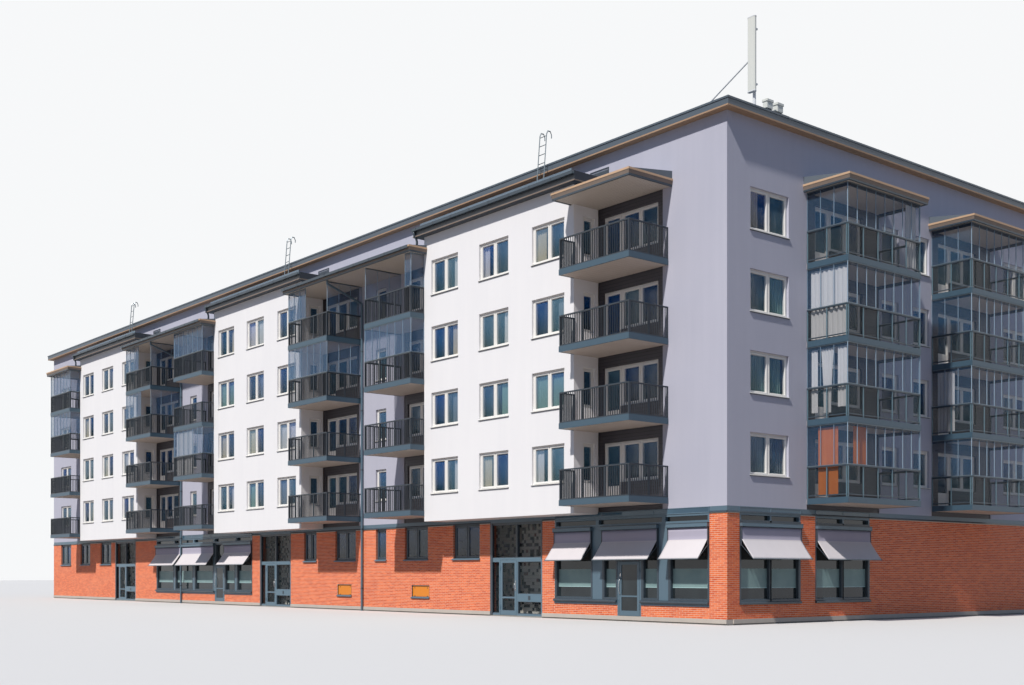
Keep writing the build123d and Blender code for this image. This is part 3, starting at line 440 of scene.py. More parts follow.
# Windows: white painted timber, most with two sashes and a post between them, screwed into the opening 44 mm
# behind the render. A white sill runs out over the wall, with a folded steel drip under its edge, coloured
# dark as painted shade under the sill.
floor_tops = 2.128 + 1.35 * np.arange(4)
window_sill, window_head = 0.335, 1.05
frame_section = [(0, -0.090), (0, -0.044), (0.021, -0.044), (0.025, -0.048), (0.025, -0.090)]
sash_section = [(0, -0.084), (0, -0.040), (0.003, -0.037), (0.028, -0.037), (0.036, -0.046), (0.036, -0.084)]
frame_width, post_width, glass_rim = 0.025, 0.022, 0.032
glass_back, glass_front, post_back, post_front = -0.063, -0.058, -0.088, -0.046
sill_section = [(-0.05, 0.010), (0.020, 0.001), (0.024, -0.001), (0.024, -0.013), (0.020, -0.013),
                (0.018, -0.004), (-0.05, 0.002)]
drip_section = [(0.0005, -0.013), (0.019, -0.013), (0.019, -0.019), (0.0005, -0.022)]
timber, steel_sashes, glazing, pane_tones, sills, shaded_drips = [], [], [], [], [], []


def moulding(boxes, section):
    """A closed frame: a section of (inset, out) points is carried round each rectangle and mitred.

    Boxes are rows of u0, u1, z0, z1; a point of inset s lies s inside each side.
    """
    boxes = np.asarray(boxes, float)[:, None, None]
    inset, out = np.array(section, float).T
    right, high = np.array([[0, 1, 1, 0], [0, 0, 1, 1]])[..., None]
    u = np.where(right, boxes[..., 1] - inset, boxes[..., 0] + inset)
    z = np.where(high, boxes[..., 3] - inset, boxes[..., 2] + inset)
    points = np.stack([u, np.broadcast_to(out, u.shape), z], -1)
    faces = net(4, len(section), ends_meet=True)[:, [0, 3, 2, 1]]
    return points.reshape(-1, 3), again(faces, len(boxes), 4 * len(section))


def runs(section, starts, ends):
    """A section of (out, z) points, in order round its outline, is carried along u from start to end."""
    limits = np.stack([np.atleast_1d(starts), np.atleast_1d(ends)], 1)
    points = np.zeros((len(limits), 2, len(section), 3))
    points[..., 0] = limits[..., None]
    points[..., 1:] = section
    return points.reshape(-1, 3), tube(len(limits), 2, len(section))


def storeys(start, width, low=window_sill, high=window_head):
    """The same opening on each upper storey: rows of u0, u1, z0, z1."""
    return np.array([[start, start + width, top + low, top + high] for top in floor_tops])


def moved(wall, out):
    """The same wall with its own origin moved outwards."""
    return wall[0], wall[1] + wall[0][:, 1] * out


def sashes(boxes, lights):
    """Divides each opening, inside its frame, into equal sashes with a post between them."""
    a, b, low, high = (boxes + np.array([1, -1, 1, -1]) * frame_width).T
    step = (b - a + post_width) / lights
    rows = [np.stack([a + step * k, a + step * (k + 1) - post_width, low, high], -1) for k in range(lights)]
    return np.concatenate(rows)


def fit_windows(wall, boxes, lights=2, sill=True, made=timber):
    """Frame, sashes, post, glass and sill of like windows on one wall."""
    boxes = np.asarray(boxes, float)
    leaves = sashes(boxes, lights)
    made += [place(moulding(boxes, frame_section), wall), place(moulding(leaves, sash_section), wall)]
    if lights > 1:
        side, low, high = leaves[: len(boxes), 1], boxes[:, 2] + 0.02, boxes[:, 3] - 0.02
        posts = spans((side, side + post_width), (post_back, post_front), (low, high))
        made.append(place(lengths(*posts, 2), wall))
    a, b, low, high = leaves.T
    panes = spans((a + glass_rim, b - glass_rim), (glass_back, glass_front),
                  (low + glass_rim, high - glass_rim))
    glazing.append(place(lengths(*panes, 2), wall))
    pane_tones.append(np.repeat(draw.random(len(leaves)), 8))
    for z in np.unique(boxes[:, 2]) if sill else ():
        row = boxes[boxes[:, 2] == z]
        for section, kept in ((sill_section, sills), (drip_section, shaded_drips)):
            shape = [(out, z + 0.012 + rise) for out, rise in section]
            kept.append(place(runs(shape, row[:, 0] - 0.012, row[:, 1] + 0.012), wall))


bay_face = moved(street, 0.595)
for start in bay_starts:
    for step in (-1, 0, 1):
        fit_windows(bay_face, storeys(start + bay / 2 + step * 1.585 - 0.45, 0.9))
for start in middle_starts:
    fit_windows(street, storeys(start + middle / 2 - 0.21, 0.42), 1)
fit_windows(street, storeys(block_length - end_pier / 2 - 0.475, 0.95))
for end_wall in short_faces:
    for start in (0.575, 8.515):
        fit_windows(end_wall, storeys(start, 1.0))
    for start in (4.275, 5.285):
        fit_windows(end_wall, storeys(start, 0.53), 1)
for a, b, low, high in yard_holes:
    fit_windows(yard, storeys(a, b - a))
    fit_windows(yard, [(a, b, low, high)])
for a, w in high_windows:
    fit_windows(street, [(a, a + w, high_sill, brick_top)], 2 if w > 0.5 else 1, False, steel_sashes)

# Balcony doors: a glazed timber leaf with a plain lower panel, screwed in beside a two-light window. Both are
# set in the dark boarded wall, whose face stands 15 mm behind the piers.
door_width, door_sill, side_width = 0.44, 0.03, 0.925
end_stack_starts = np.array([2.067, 5.895])
dark_face = moved(street, -0.015)
panels = []


def fit_doors(wall, doors, side):
    """A door, the window beside it and the door's lower panel, on each storey."""
    fit_windows(wall, storeys(doors, door_width, door_sill), 1, sill=False)
    fit_windows(wall, storeys(side, side_width), 2, sill=False)
    for top in floor_tops:
        low = (doors + 0.05, -0.066, top + door_sill + 0.05)
        high = (doors + door_width - 0.05, -0.048, top + 0.28)
        panels.append(place(lengths(low, high, 0, 0.004), wall))


for i, start in enumerate(stack_starts):
    if i % 2 == 1:
        fit_doors(dark_face, start + 0.115, start + 0.555)
    else:
        doors = start + stack - 0.115 - door_width
        fit_doors(dark_face, doors, doors - side_width)
for end_wall in short_faces:
    for start in end_stack_starts:
        fit_doors(moved(end_wall, -0.015), start + 0.25, start + 0.69)

# Narrow lights: one tall timber sash in each side of a bay, made and fixed as the windows are, looks out on
# to the balcony beside it. All the timber is then painted white together.
for start in bay_starts:
    for side, x in ((1, corner_x - start), (-1, corner_x - start - bay)):
        fit_windows(wall_axes((0, -1), (side, 0), (x, -corner_y)), storeys(0.075, 0.295), 1, sill=False)
window_white = weathered("window_paint", (236, 234, 230), (222, 220, 216), 0.45, grain_size=30.0,
                         relief=0.0002)
closed("window_frames", timber, window_white, None)
closed("balcony_door_panels", panels, window_white, None)
closed("window_sills", sills, window_white, None)
# The drips are dark steel as painted shade under each sill.
closed("sill_drips_shade", shaded_drips, dark_steel, "dark_steel")


# Window glass: clear float, bedded in each sash behind a bead. How deep it looks differs from pane to pane,
# and a painted reflection turns each pane from dark at its foot to sky blue towards its head.
def tinted(name, colour, roughness, scale, first, second, detail=1.0, alpha=1.0):
    """Glass or film whose colour drifts between two tones with broad noise."""
    finish = Finish(name, colour, roughness)
    finish.shader.inputs["Alpha"].default_value = alpha
    drift = finish.node("ShaderNodeTexNoise", {"Vector": finish.place}, Scale=scale, Detail=detail)
    finish.feed("Base Color", finish.mix(drift.outputs["Fac"], first, second))
    return finish


clear = Finish("window_glass", (60, 100, 124), 0.03)
clear.shader.inputs["Alpha"].default_value = 0.2
tone = clear.field("tone")
# Painted reflection: each pane goes from a dark street reflection at its foot to a sky-blue one at its head.
lower = clear.mix(tone, (24, 44, 52), (84, 116, 118))
painted_sky_reflection = clear.mix(tone, (26, 108, 204), (124, 176, 208))
wash = clear.node("ShaderNodeTexNoise", {"Vector": clear.place}, Scale=1.6, Detail=1.0)
above_quarter = clear.math("SUBTRACT", clear.field("pane_height"), 0.25)
sky_share = clear.math("MULTIPLY_ADD", wash.outputs["Fac"], 0.5, above_quarter)
sky_share = clear.math("MINIMUM", clear.math("MAXIMUM", sky_share, 0.0), 1.0)
clear.feed("Base Color", clear.mix(sky_share, lower, painted_sky_reflection))
glass_z = gather(*glazing)[0][:, 2].reshape(-1, 8)
pane_height = (glass_z - glass_z.min(1, keepdims=True)) / np.ptp(glass_z, axis=1)[:, None]
closed("window_panes", glazing, clear, "glass", tone=np.concatenate(pane_tones),
       pane_height=pane_height.ravel())
inner_glass = tinted("inner_glass", (30, 44, 52), 0.08, 1.3, (14, 34, 50), (40, 78, 98))
dress(inner_glass, "front_glass", "bay_glass", "end_glass", "back_glass")

# Flashings: dark sheet, folded on a brake, caps the brick under the steel band, and blue-grey sheet sills
# with a turned-down nose are screwed under the high windows, whose own frames are dark steel.
cap_section = [(0.0005, brick_top - 0.004), (0.019, brick_top - 0.004), (0.019, brick_top + 0.004),
               (0.003, brick_top + 0.026), (0.0005, brick_top + 0.026)]
caps = [place(runs(cap_section, ends_of_brick[::2], ends_of_brick[1::2]), street)]
for wall, length in ((near_end, block_width), (far_end, block_width), (yard, block_length)):
    caps.append(place(runs(cap_section, 0.0, length), wall))
closed("brick_cap_flashings", caps, dark_steel, "dark_steel")
ledge_section = [(-0.06, 0.016), (0.0, 0.004), (0.030, -0.006), (0.034, -0.010), (0.034, -0.030),
                 (0.029, -0.030), (0.027, -0.014), (0.0, -0.005), (-0.06, 0.002)]
ledge = [(out, high_sill + rise) for out, rise in ledge_section]
ledges = [runs(ledge, a - 0.02, a + w + 0.02) for a, w in high_windows]
closed("high_window_sills", ledges, blue_steel, "blue_steel", street)
closed("high_window_frames", steel_sashes, dark_steel, "dark_steel")

# Shop fronts: dark glazing beads are pressed into blue-grey steel frames round each light. Frosted film is
# rubbed on to the glass at eye level, with a brighter edge along its foot.
shop_windows = [
    (shop_starts[0], [(0.001, 0.923), (1.151, 0.418), (2.161, 0.388), (2.811, 1.028)]),
    (shop_starts[1], [(0.001, 0.88), (0.971, 0.608), (2.25, 1.1817), (3.5317, 1.1817), (4.8133, 1.1817)]),
]
steel_frame = 0.04
bead_section = [(0.0, 0.0005), (0.0, 0.005), (0.034, 0.005), (0.048, -0.008), (0.052, -0.058),
                (0.041, -0.058), (0.041, 0.0005)]
film_low, film_high, foot, film_back = 0.60, 0.925, 0.012, -0.0592
beads, films, film_feet = [], [], []


def glaze_shop(wall, u0, u1, low, high, lights=1):
    """Beads round each light of a shop window, and film across it where it reaches eye level."""
    step = (u1 - u0 - steel_frame) / lights
    for k in range(lights):
        a, b = u0 + step * k, u0 + step * (k + 1) + steel_frame
        beads.append(place(moulding([(a, b, low, high)], bead_section), wall))
        if low < film_low < high:
            clear_a, clear_b, line = a + 0.046, b - 0.046, film_low + foot
            films.append(place(lengths((clear_a, film_back, line), (clear_b, -0.0575, film_high), 2), wall))
            film_foot = lengths((clear_a, film_back, film_low), (clear_b, -0.0565, line), 2)
            film_feet.append(place(film_foot, wall))


for start, windows in shop_windows:
    for a, w in windows:
        glaze_shop(street, start + a, start + a + w, shop_sill, shop_head - 0.001)
for a, b in zip(door_starts - steel_frame, door_ends + steel_frame):
    glaze_shop(street, a, b, 1.06, shop_head - 0.001)
for wall in short_faces:
    for a, w in end_shop_windows:
        glaze_shop(wall, a, a + w, shop_sill, shop_head + 0.04, 2)
closed("shop_glazing_beads", beads, dark_steel, "dark_steel")
shop_pane = tinted("shop_pane", (22, 28, 34), 0.05, 2.2, (8, 12, 16), (52, 62, 66), 2.0)
dress(shop_pane, "shop_glass", "shop_door_1_glass", "shop_door_2_glass")
frosted = tinted("frosted_film", (120, 148, 150), 0.55, 3.0, (98, 128, 132), (142, 168, 166), 2.0)
closed("shop_film", films, frosted, "glass")
film_line = weathered("film_line", (176, 206, 206), (150, 184, 186), 0.5, grain_size=30.0, relief=0.0001)
closed("shop_film_feet", film_feet, film_line, "glass")

# Fascia: dark blue glass panels in thin folded steel bars close the strip between the shop windows and the
# steel band. A folded flashing with a rounded nose is screwed along the low wall under the windows.
panel_low, panel_high, panel_proud = brick_top + 0.010, brick_top + 0.090, 0.004
bar_section = [(0.0, 0.0005), (0.0, 0.009), (0.010, 0.009), (0.014, 0.005), (0.014, 0.0005)]
fascia_panes, fascia_bars = [], []


def glaze_fascia(wall, u0, u1, pitch):
    """Panels of about one pitch between two ends, and a mitred bar round each."""
    at = np.linspace(u0, u1, max(1, int(round((u1 - u0) / pitch))) + 1)
    panel = spans((at[:-1] + 0.012, at[1:] - 0.012), (0.0005, panel_proud), (panel_low, panel_high))
    fascia_panes.append(place(lengths(*panel, 0), wall))
    box = [(p, q, panel_low - 0.012, panel_high + 0.008) for p, q in zip(at[:-1], at[1:])]
    fascia_bars.append(place(moulding(box, bar_section), wall))


for start, end_of_shop, pitch in zip(shop_starts, shop_ends, (1.28, 1.25)):
    glaze_fascia(street, start, end_of_shop, pitch)
for wall in short_faces:
    for a, w in end_shop_windows:
        glaze_fascia(wall, a, a + w, 0.8)
fascia_blue = tinted("fascia_glass", (52, 84, 108), 0.06, 1.1, (34, 60, 80), (72, 110, 132))
closed("fascia_panes", fascia_panes, fascia_blue, "glass")
closed("fascia_bars", fascia_bars, blue_steel, "blue_steel")
kerb_section = [(0.0155, 0.382), (0.030, 0.376), (0.045, 0.366), (0.050, 0.356), (0.050, 0.340),
                (0.044, 0.332), (0.030, 0.330), (0.0155, 0.330)]
kerb_starts = [edge for ends in zip(shop_starts, door_ends + steel_frame) for edge in ends]
kerb_ends = [edge for ends in zip(door_starts - steel_frame, shop_ends) for edge in ends]
kerbs = [place(runs(kerb_section, kerb_starts, kerb_ends), street)]
end_kerb = [(out - 0.015, z) for out, z in kerb_section]
end_kerb_starts, end_kerb_widths = np.array(end_shop_windows).T
for wall in short_faces:
    kerbs.append(place(runs(end_kerb, end_kerb_starts, end_kerb_starts + end_kerb_widths), wall))
closed("shop_sill_flashings", kerbs, dark_steel, "dark_steel")


# Pull handles: a stainless round bar, bent to a bow and bolted through the free stile of each shop door, with
# a lock plate above it.
def bar_through(points, radius, sides=8):
    """A round bar: at each point a ring of this many sides is set square to the path's mean direction."""
    points = np.asarray(points, float)
    ahead = np.gradient(points, axis=0)
    ahead /= np.linalg.norm(ahead, axis=1, keepdims=True)
    guide = np.array([0.0, 0.0, 1.0]) if abs(ahead[:, 2]).max() < 0.9 else np.array([1.0, 0.3, 0.0])
    side = np.cross(ahead, guide)
    side /= np.linalg.norm(side, axis=1, keepdims=True)
    rise = np.cross(side, ahead)
    turn = 2 * np.pi * (np.arange(sides)[:, None] + 0.5) / sides
    ring = np.cos(turn) * side[:, None] + np.sin(turn) * rise[:, None]
    return (points[:, None] + radius * ring).reshape(-1, 3), tube(1, len(points), sides)


def bow_handle(u, low, high, bow=0.045, radius=0.006):
    """A bar that bows out from the door and back to it, as half a sine wave raised to the power 0.6."""
    share = np.linspace(0, 1, 17)
    out = 0.004 + bow * np.sin(np.pi * share) ** 0.6
    return bar_through(np.stack([np.full(17, u), out, low + (high - low) * share], -1), radius)


handle_steel = weathered("handle_steel", (196, 198, 200), (160, 164, 168), 0.28, metallic=0.9,
                         grain_size=90.0, relief=0.0001)
for number, start in enumerate(door_starts, 1):
    stile = start + 0.4775
    lock = lengths((stile - 0.014, 0.0002, 0.79), (stile + 0.014, 0.006, 0.86), 1, 0.003)
    closed(f"shop_door_{number}_handle", [bow_handle(stile, 0.47, 0.76), lock], handle_steel, "galvanised",
           street, body=f"shop_door_{number}", smooth=True)

# Awnings: a woven pale cloth falls from its box between two rails, turns over a knee bar and is pushed out by
# two arms that carry its foot bar. The box is folded steel, screwed to the wall, with a hood over it.
knee_out, knee_z, reach_out, reach_z, box_foot = 0.031, 1.41, 0.272, 1.0855, 1.61
slope_run, upright_run = math.hypot(reach_out - knee_out, knee_z - reach_z), box_foot - knee_z
track_metal = weathered("glazing_track", (120, 132, 140), (98, 110, 118), 0.35, metallic=0.3, grain_size=30.0)


def solids(node):
    """Boxes of a CAD node's separate solids: labels spread along its edges until none changes."""
    data = nodes[node].data
    co = np.zeros(len(data.vertices) * 3)
    data.vertices.foreach_get("co", co)
    co = co.reshape(-1, 3)
    same = np.unique(np.round(co, 5), axis=0, return_inverse=True)[1].reshape(-1)
    ends = np.zeros(len(data.edges) * 2, int)
    data.edges.foreach_get("vertices", ends)
    ends = same[ends].reshape(-1, 2)
    label, settled = np.arange(same.max() + 1), False
    while not settled:
        low = label[ends].min(1)
        new = label.copy()
        np.minimum.at(new, ends[:, 0], low)
        np.minimum.at(new, ends[:, 1], low)
        new = new[new]
        settled = (new == label).all()
        label = new
    mark = label[same]
    return np.array([[co[mark == k].min(0), co[mark == k].max(0)] for k in np.unique(mark)])


def long_axis(low, high):
    return 0 if high[0] - low[0] > high[1] - low[1] else 1


def fitted(low, high, axis, limits, edge=0.0):
    """A straight piece in the place of a solid, with new limits along the axes that are named."""
    low, high = low.copy(), high.copy()
    for k, (a, b) in limits.items():
        low[k], high[k] = a, b
    return lengths(low, high, axis, edge)


def woven(finish, scale, distortion):
    """Warp and weft: two sets of waves, square to each other on the cut pattern, are multiplied."""
    cut = finish.node("ShaderNodeUVMap", uv_map="cut").outputs["UV"]
    warp, weft = [finish.node("ShaderNodeTexWave", {"Vector": cut}, Scale=scale, Distortion=distortion,
                              bands_direction=way).outputs["Fac"] for way in "XY"]
    return cut, finish.math("MULTIPLY", warp, weft)


def hung_cloth(name, points, cut, wall, finish, slot):
    """One cloth from rows of points; each point's place on the flat cloth, in metres, is its UV map, cut."""
    part = points.reshape(-1, 3), net(*points.shape[:2], sides_meet=False).tolist()
    cloth = piece(name, place(part, wall), finish, slot, smooth=True)
    loops = np.zeros(len(cloth.data.loops), int)
    cloth.data.loops.foreach_get("vertex_index", loops)
    flat = np.stack(cut, -1).reshape(-1, 2)
    cloth.data.uv_layers.new(name="cut").data.foreach_set("uv", flat[loops].ravel())
    return cloth


def awning_cloth(wall, u0, u1, name):
    """One cloth: u across, v down it. It is upright to the knee, then a straight slope that sags by a shallow
    half sine wave along v, and it ripples by a faint cosine across u, more towards its free edge."""
    across = np.linspace(0, 1, int((u1 - u0) / 0.04) + 2)
    down = np.concatenate([np.linspace(0, upright_run, 4), upright_run + slope_run * np.linspace(0.1, 1, 10)])
    v, u = np.meshgrid(down, across, indexing="ij")
    fall = np.clip((v - upright_run) / slope_run, 0, 1)
    out = knee_out + (reach_out - knee_out) * fall - 0.006 * np.sin(np.pi * fall)
    out = out + 0.0015 * np.cos(2 * np.pi * u * (u1 - u0) / 0.31) * fall * (1 - 0.6 * fall)
    z = np.where(v < upright_run, box_foot - v, knee_z - (knee_z - reach_z) * fall)
    points = np.stack([u0 + (u1 - u0) * u, out, z], -1)
    cloth = hung_cloth(name, points, (u * (u1 - u0), v), wall, cloth_finish, "awning_cloth")
    thicken = cloth.modifiers.new("cloth_thickness", "SOLIDIFY")
    thicken.thickness = 0.0012
    thicken.offset = 0.0
    return cloth


cloth_finish = Finish("awning_cloth", (206, 202, 208), 0.85)
cut, weave = woven(cloth_finish, 130.0, 0.0)
mask = cloth_finish.weather(0.7, 0.3, 60.0)["Mask"]
down_cut = cloth_finish.node("ShaderNodeSeparateXYZ", {"Vector": cut}).outputs["Y"]
# Painted light: the slope is coloured as lit by the sun, and the upright part darker, as painted shade.
sunlit_slope_tone = cloth_finish.mix(mask, (216, 211, 212), (194, 189, 194))
shaded = cloth_finish.mix(mask, (180, 176, 192), (162, 158, 176))
upright = cloth_finish.math("LESS_THAN", down_cut, 0.2)
cloth_finish.feed("Base Color", cloth_finish.mix(upright, sunlit_slope_tone, shaded))
cloth_finish.bump(weave, 0.0006, 0.5)
cloths, knees, foot_bars, arms, rails, hoods = [], [], [], [], [], []
for number, (low, high) in enumerate(solids("awning_cloths"), 1):
    if high[1] < -corner_y + 0.001:
        wall, u0, u1 = street, corner_x - high[0], corner_x - low[0]
    else:
        wall, u0, u1 = near_end if low[0] > 0 else far_end, low[1] + corner_y, high[1] + corner_y
    cloths.append((awning_cloth(wall, u0, u1, f"awning_cloth_{number}"), u1 - u0))
    knee = lengths((u0 - 0.012, 0.020, knee_z - 0.007), (u1 + 0.012, 0.030, knee_z + 0.007), 0, 0.002)
    knees.append(place(knee, wall))
    foot_bar = lengths((u0 - 0.004, reach_out - 0.006, reach_z - 0.009),
                       (u1 + 0.004, reach_out + 0.010, reach_z + 0.007), 0, 0.004)
    foot_bars.append(place(foot_bar, wall))
    for u in (u0 - 0.008, u1 + 0.008):
        rail = lengths((u - 0.006, 0.006, 1.30), (u + 0.006, 0.040, box_foot + 0.005), 2, 0.002)
        rails.append(place(rail, wall))
        arm = bar_through([(u, 0.022, 1.318), (u, 0.15, 1.20), (u, reach_out, reach_z)], 0.006, 6)
        arms.append(place(arm, wall))
closed("awning_knee_bars", knees, dark_steel, "dark_steel")
closed("awning_foot_bars", foot_bars, track_metal, "galvanised")
closed("awning_arms", arms, dark_steel, "dark_steel")
closed("awning_rails", rails, dark_steel, "dark_steel")
for cloth, width in cloths:
    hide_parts("awning_cloths")
for low, high in solids("awning_boxes"):
    axis = long_axis(low, high)
    hoods.append(fitted(low - 0.002, high + 0.002, axis, {2: (high[2] - 0.012, high[2] + 0.004)}, 0.003))
    longer = {axis: (low[axis] - 0.004, high[axis] + 0.004), 2: (low[2], low[2] + 0.010)}
    hoods.append(fitted(low, high, axis, longer, 0.002))
closed("awning_box_hoods", hoods, dark_steel, "dark_steel")

# Entrances: frames and leaves of welded steel section, painted light below the transom and dark above it,
# with rubber gaskets round each light and a letterbox flap. The lobby wall behind is set with mosaic tiles.
door_offset, leaf_width, door_foot, door_head = 0.77, 0.49, 0.03, 1.11
transom_low, transom_high = 1.074, 1.155
tile, tile_joint, lobby_reach, lobby_head = 0.065, 0.004, 0.98, 1.99
entry_steel = Finish("entrance_steel", (104, 138, 152), 0.42)
mark = entry_steel.weather(0.5, 0.3, 25.0)
is_high = entry_steel.math("GREATER_THAN", entry_steel.along("Z"), 1.152)
light_paint = entry_steel.mix(mark["Mask"], (96, 122, 138), (82, 106, 122))
entry_steel.feed("Base Color", entry_steel.mix(is_high, light_paint, (52, 60, 68)))
entry_steel.bump(mark["Grain"], 0.0002)
dress(entry_steel, "entrance_frames", "entrance_door_1", "entrance_door_2", "entrance_door_3")
gasket = [(0.0, -0.008), (0.009, -0.012), (0.011, -0.058), (0.0, -0.058)]
leaf_gasket = [(0.0, -0.002), (0.008, -0.005), (0.010, -0.0085), (0.0, -0.0085)]
gaskets, jambs, flaps, tiles, tile_tones, lobby_backs = [], [], [], [], [], []
for number, start in enumerate(entrance_starts, 1):
    hung, end_here = start + door_offset, start + entrance_width
    door_b = hung + leaf_width + 0.01
    lights = [(start + 0.04, hung - 0.04, 0.065, 0.3), (start + 0.04, hung - 0.04, 0.45, transom_low),
              (door_b + 0.04, end_here - 0.04, 0.065, transom_low),
              (start + 0.04, hung - 0.02, transom_high, 1.805),
              (hung + 0.02, end_here - 0.04, transom_high, 1.805)]
    gaskets.append(moulding(lights, gasket))
    jamb_top = brick_top - 0.006
    jambs.append(lengths((end_here - 0.075, 0.0005, 0.03), (end_here - 0.001, 0.012, jamb_top), 2, 0.003))
    jambs.append(lengths((start + 0.001, 0.0005, 1.13), (start + 0.036, 0.008, jamb_top), 2, 0.003))
    middle_u = (start + hung) / 2
    for a, b in ((middle_u - 0.030, middle_u - 0.002), (middle_u + 0.002, middle_u + 0.030)):
        flaps.append(lengths((a, 0.0005, 0.335), (b, 0.006, 0.415), 0, 0.002))
    opens = number < 3
    body = f"entrance_door_{number}" if opens else "building"
    gap, low_door, high_door = 0.005, door_foot, door_head
    if not opens:
        gap, low_door, high_door = 0.0, door_foot - 0.005, door_head + 0.004
    leaf_a, leaf_b = hung + gap, door_b - gap
    leaf_lights = [(leaf_a + 0.055, leaf_b - 0.055, low_door + 0.09, low_door + 0.33),
                   (leaf_a + 0.055, leaf_b - 0.055, low_door + 0.3575, high_door - 0.055)]
    closed(f"entrance_door_{number}_beads", [moulding(leaf_lights, leaf_gasket)], dark_steel, "dark_steel",
           street, body=body)
    stile = leaf_a + 0.0275
    plate = lengths((stile - 0.012, 0.0002, 0.50), (stile + 0.012, 0.004, 0.72), 2, 0.002)
    cylinder = bar_through([(stile, 0.003, 0.685), (stile, 0.007, 0.685), (stile, 0.012, 0.685)], 0.0085, 12)
    furniture = [plate, cylinder, bow_handle(stile, 0.52, 0.66, 0.035, 0.005)]
    closed(f"entrance_door_{number}_handle", furniture, handle_steel, "galvanised", street, body=body,
           smooth=True)
    lobby_backs.append(lengths((end_here, -0.86, 0.03), (end_here + lobby_reach, -0.8005, lobby_head), 0))
    u_at = start + tile_joint + tile * np.arange(int((entrance_width + lobby_reach) / tile))
    uu, zz = [grid.ravel() for grid in np.meshgrid(u_at, 0.03 + tile * np.arange(30))]
    face = tile - tile_joint
    tiles.append(lengths(*spans((uu, uu + face), (-0.801, -0.796), (zz, zz + face)), 0))
    tile_tones.append(np.repeat(draw.random(len(uu)), 8))
closed("entrance_gaskets", gaskets, dark_steel, "dark_steel", street)
closed("entrance_dark_jambs", jambs, dark_steel, "dark_steel", street)
closed("letterbox_flaps", flaps, dark_steel, "dark_steel", street)
mosaic = Finish("mosaic_tiles", (190, 188, 178), 0.3)
tone = mosaic.field("tone")
pale_tile = mosaic.mix(mosaic.weather(0.8, 0.1, 50.0)["Mask"], (255, 255, 246), (244, 244, 236))
grey_tile = mosaic.mix(mosaic.math("GREATER_THAN", tone, 0.30), (34, 34, 40), pale_tile)
mosaic.feed("Base Color", mosaic.mix(mosaic.math("GREATER_THAN", tone, 0.95), grey_tile, (120, 50, 44)))
closed("lobby_tiles", tiles, mosaic, "concrete", street, tone=np.concatenate(tile_tones))
closed("lobby_back_walls", lobby_backs, floor_concrete, "concrete", street)
dress(floor_concrete, "lobby_walls")
entry_glass = tinted("entrance_glass", (40, 56, 62), 0.04, 1.4, (26, 38, 44), (60, 76, 82), alpha=0.2)
dress(entry_glass, "entrance_glass", "entrance_door_1_glass", "entrance_door_2_glass")

# Service hatches: a painted orange sheet lid on two hinge lugs, in a dark folded frame let into the brick,
# over a thin folded sill.
orange = weathered("orange_paint", (232, 144, 34), (214, 122, 24), 0.45, clouds=0.7, grain_size=40.0,
                   relief=0.0004)
dress(orange, "service_hatches")
hatch_section = [(0.0, -0.019), (0.0, 0.001), (0.008, 0.001), (0.008, -0.019)]
hatch_sill_section = [(out * 0.8, hatch_sill - 0.002 + rise) for out, rise in ledge_section[1:-1]]
hatch_frames, hatch_sills = [], []
for a, w in hatches:
    hatch_frames.append(moulding([(a, a + w, hatch_sill, hatch_top)], hatch_section))
    for u in (a + 0.09, a + w - 0.09):
        for reach, out, z0, z1 in ((0.013, -0.011, hatch_sill + 0.006, hatch_sill + 0.026),
                                   (0.006, -0.014, hatch_top - 0.07, hatch_top - 0.04)):
            hatch_frames.append(lengths((u - reach, -0.0195, z0), (u + reach, out, z1), 0, 0.002))
    hatch_sills.append(runs(hatch_sill_section, a - 0.015, a + w + 0.015))
closed("hatch_frames", hatch_frames, dark_steel, "dark_steel", street)
closed("hatch_sills", hatch_sills, blue_steel, "blue_steel", street)

# Railings on the long face: flat steel bars welded upright between two rails, with a stouter post each 0.6 m,
# powder-coated dark and bolted to the slab's edge. A framed side panel closes each open end.
bar_pitch, bar_width, bar_depth = 0.055, 0.0075, 0.016
post_pitch, post_size, rail_depth = 0.6, 0.022, 0.025
bar_paint = painted("railing_paint", (44, 54, 64), (33, 42, 51), 0.4, 0.2)
dress(bar_paint, "railing_fronts")
bars, side_frames = [], []
for low, high in solids("railing_sides"):
    inner_low, inner_high = low + rail_depth, high - rail_depth
    for z0, z1 in ((low[2], inner_low[2]), (inner_high[2], high[2])):
        side_frames.append(fitted(low, high, 1, {2: (z0, z1)}, 0.003))
    for y0, y1 in ((low[1], inner_low[1]), (inner_high[1], high[1])):
        side_frames.append(fitted(low, high, 2, {1: (y0, y1), 2: (inner_low[2], inner_high[2])}, 0.003))
side_panels = closed("railing_side_frames", side_frames, bar_paint, "dark_steel")
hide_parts("railing_sides")
for low, high in np.concatenate([solids("railing_fronts"), solids("railing_sides")]):
    axis = long_axis(low, high)
    centre = (low[1 - axis] + high[1 - axis]) / 2
    for spacing, wide, deep in ((bar_pitch, bar_width, bar_depth), (post_pitch, post_size, post_size)):
        count = max(2, int(round((high[axis] - low[axis]) / spacing)) + 1)
        at = np.linspace(low[axis] + 0.012, high[axis] - 0.012, count)[1:-1]
        if len(at):
            limits = {axis: (at - wide / 2, at + wide / 2), 1 - axis: (centre - deep / 2, centre + deep / 2)}
            bars.append(lengths(*spans(limits[0], limits[1], (low[2] + 0.002, high[2] - 0.01)), 2))
closed("railing_bars", bars, bar_paint, "dark_steel")

# Balcony slabs: concrete cast on boards that leave fine ridges across its underside. A painted steel channel
# is bolted round its three free sides.
slab_thickness, balcony_out, end_balcony_out, end_stack_width = 0.095, 0.94, 0.85, 2.128
channel = [(0.001, 0.004), (0.007, 0.004), (0.007, -slab_thickness - 0.004),
           (-0.018, -slab_thickness - 0.004), (-0.018, -slab_thickness - 0.001),
           (0.001, -slab_thickness - 0.001)]


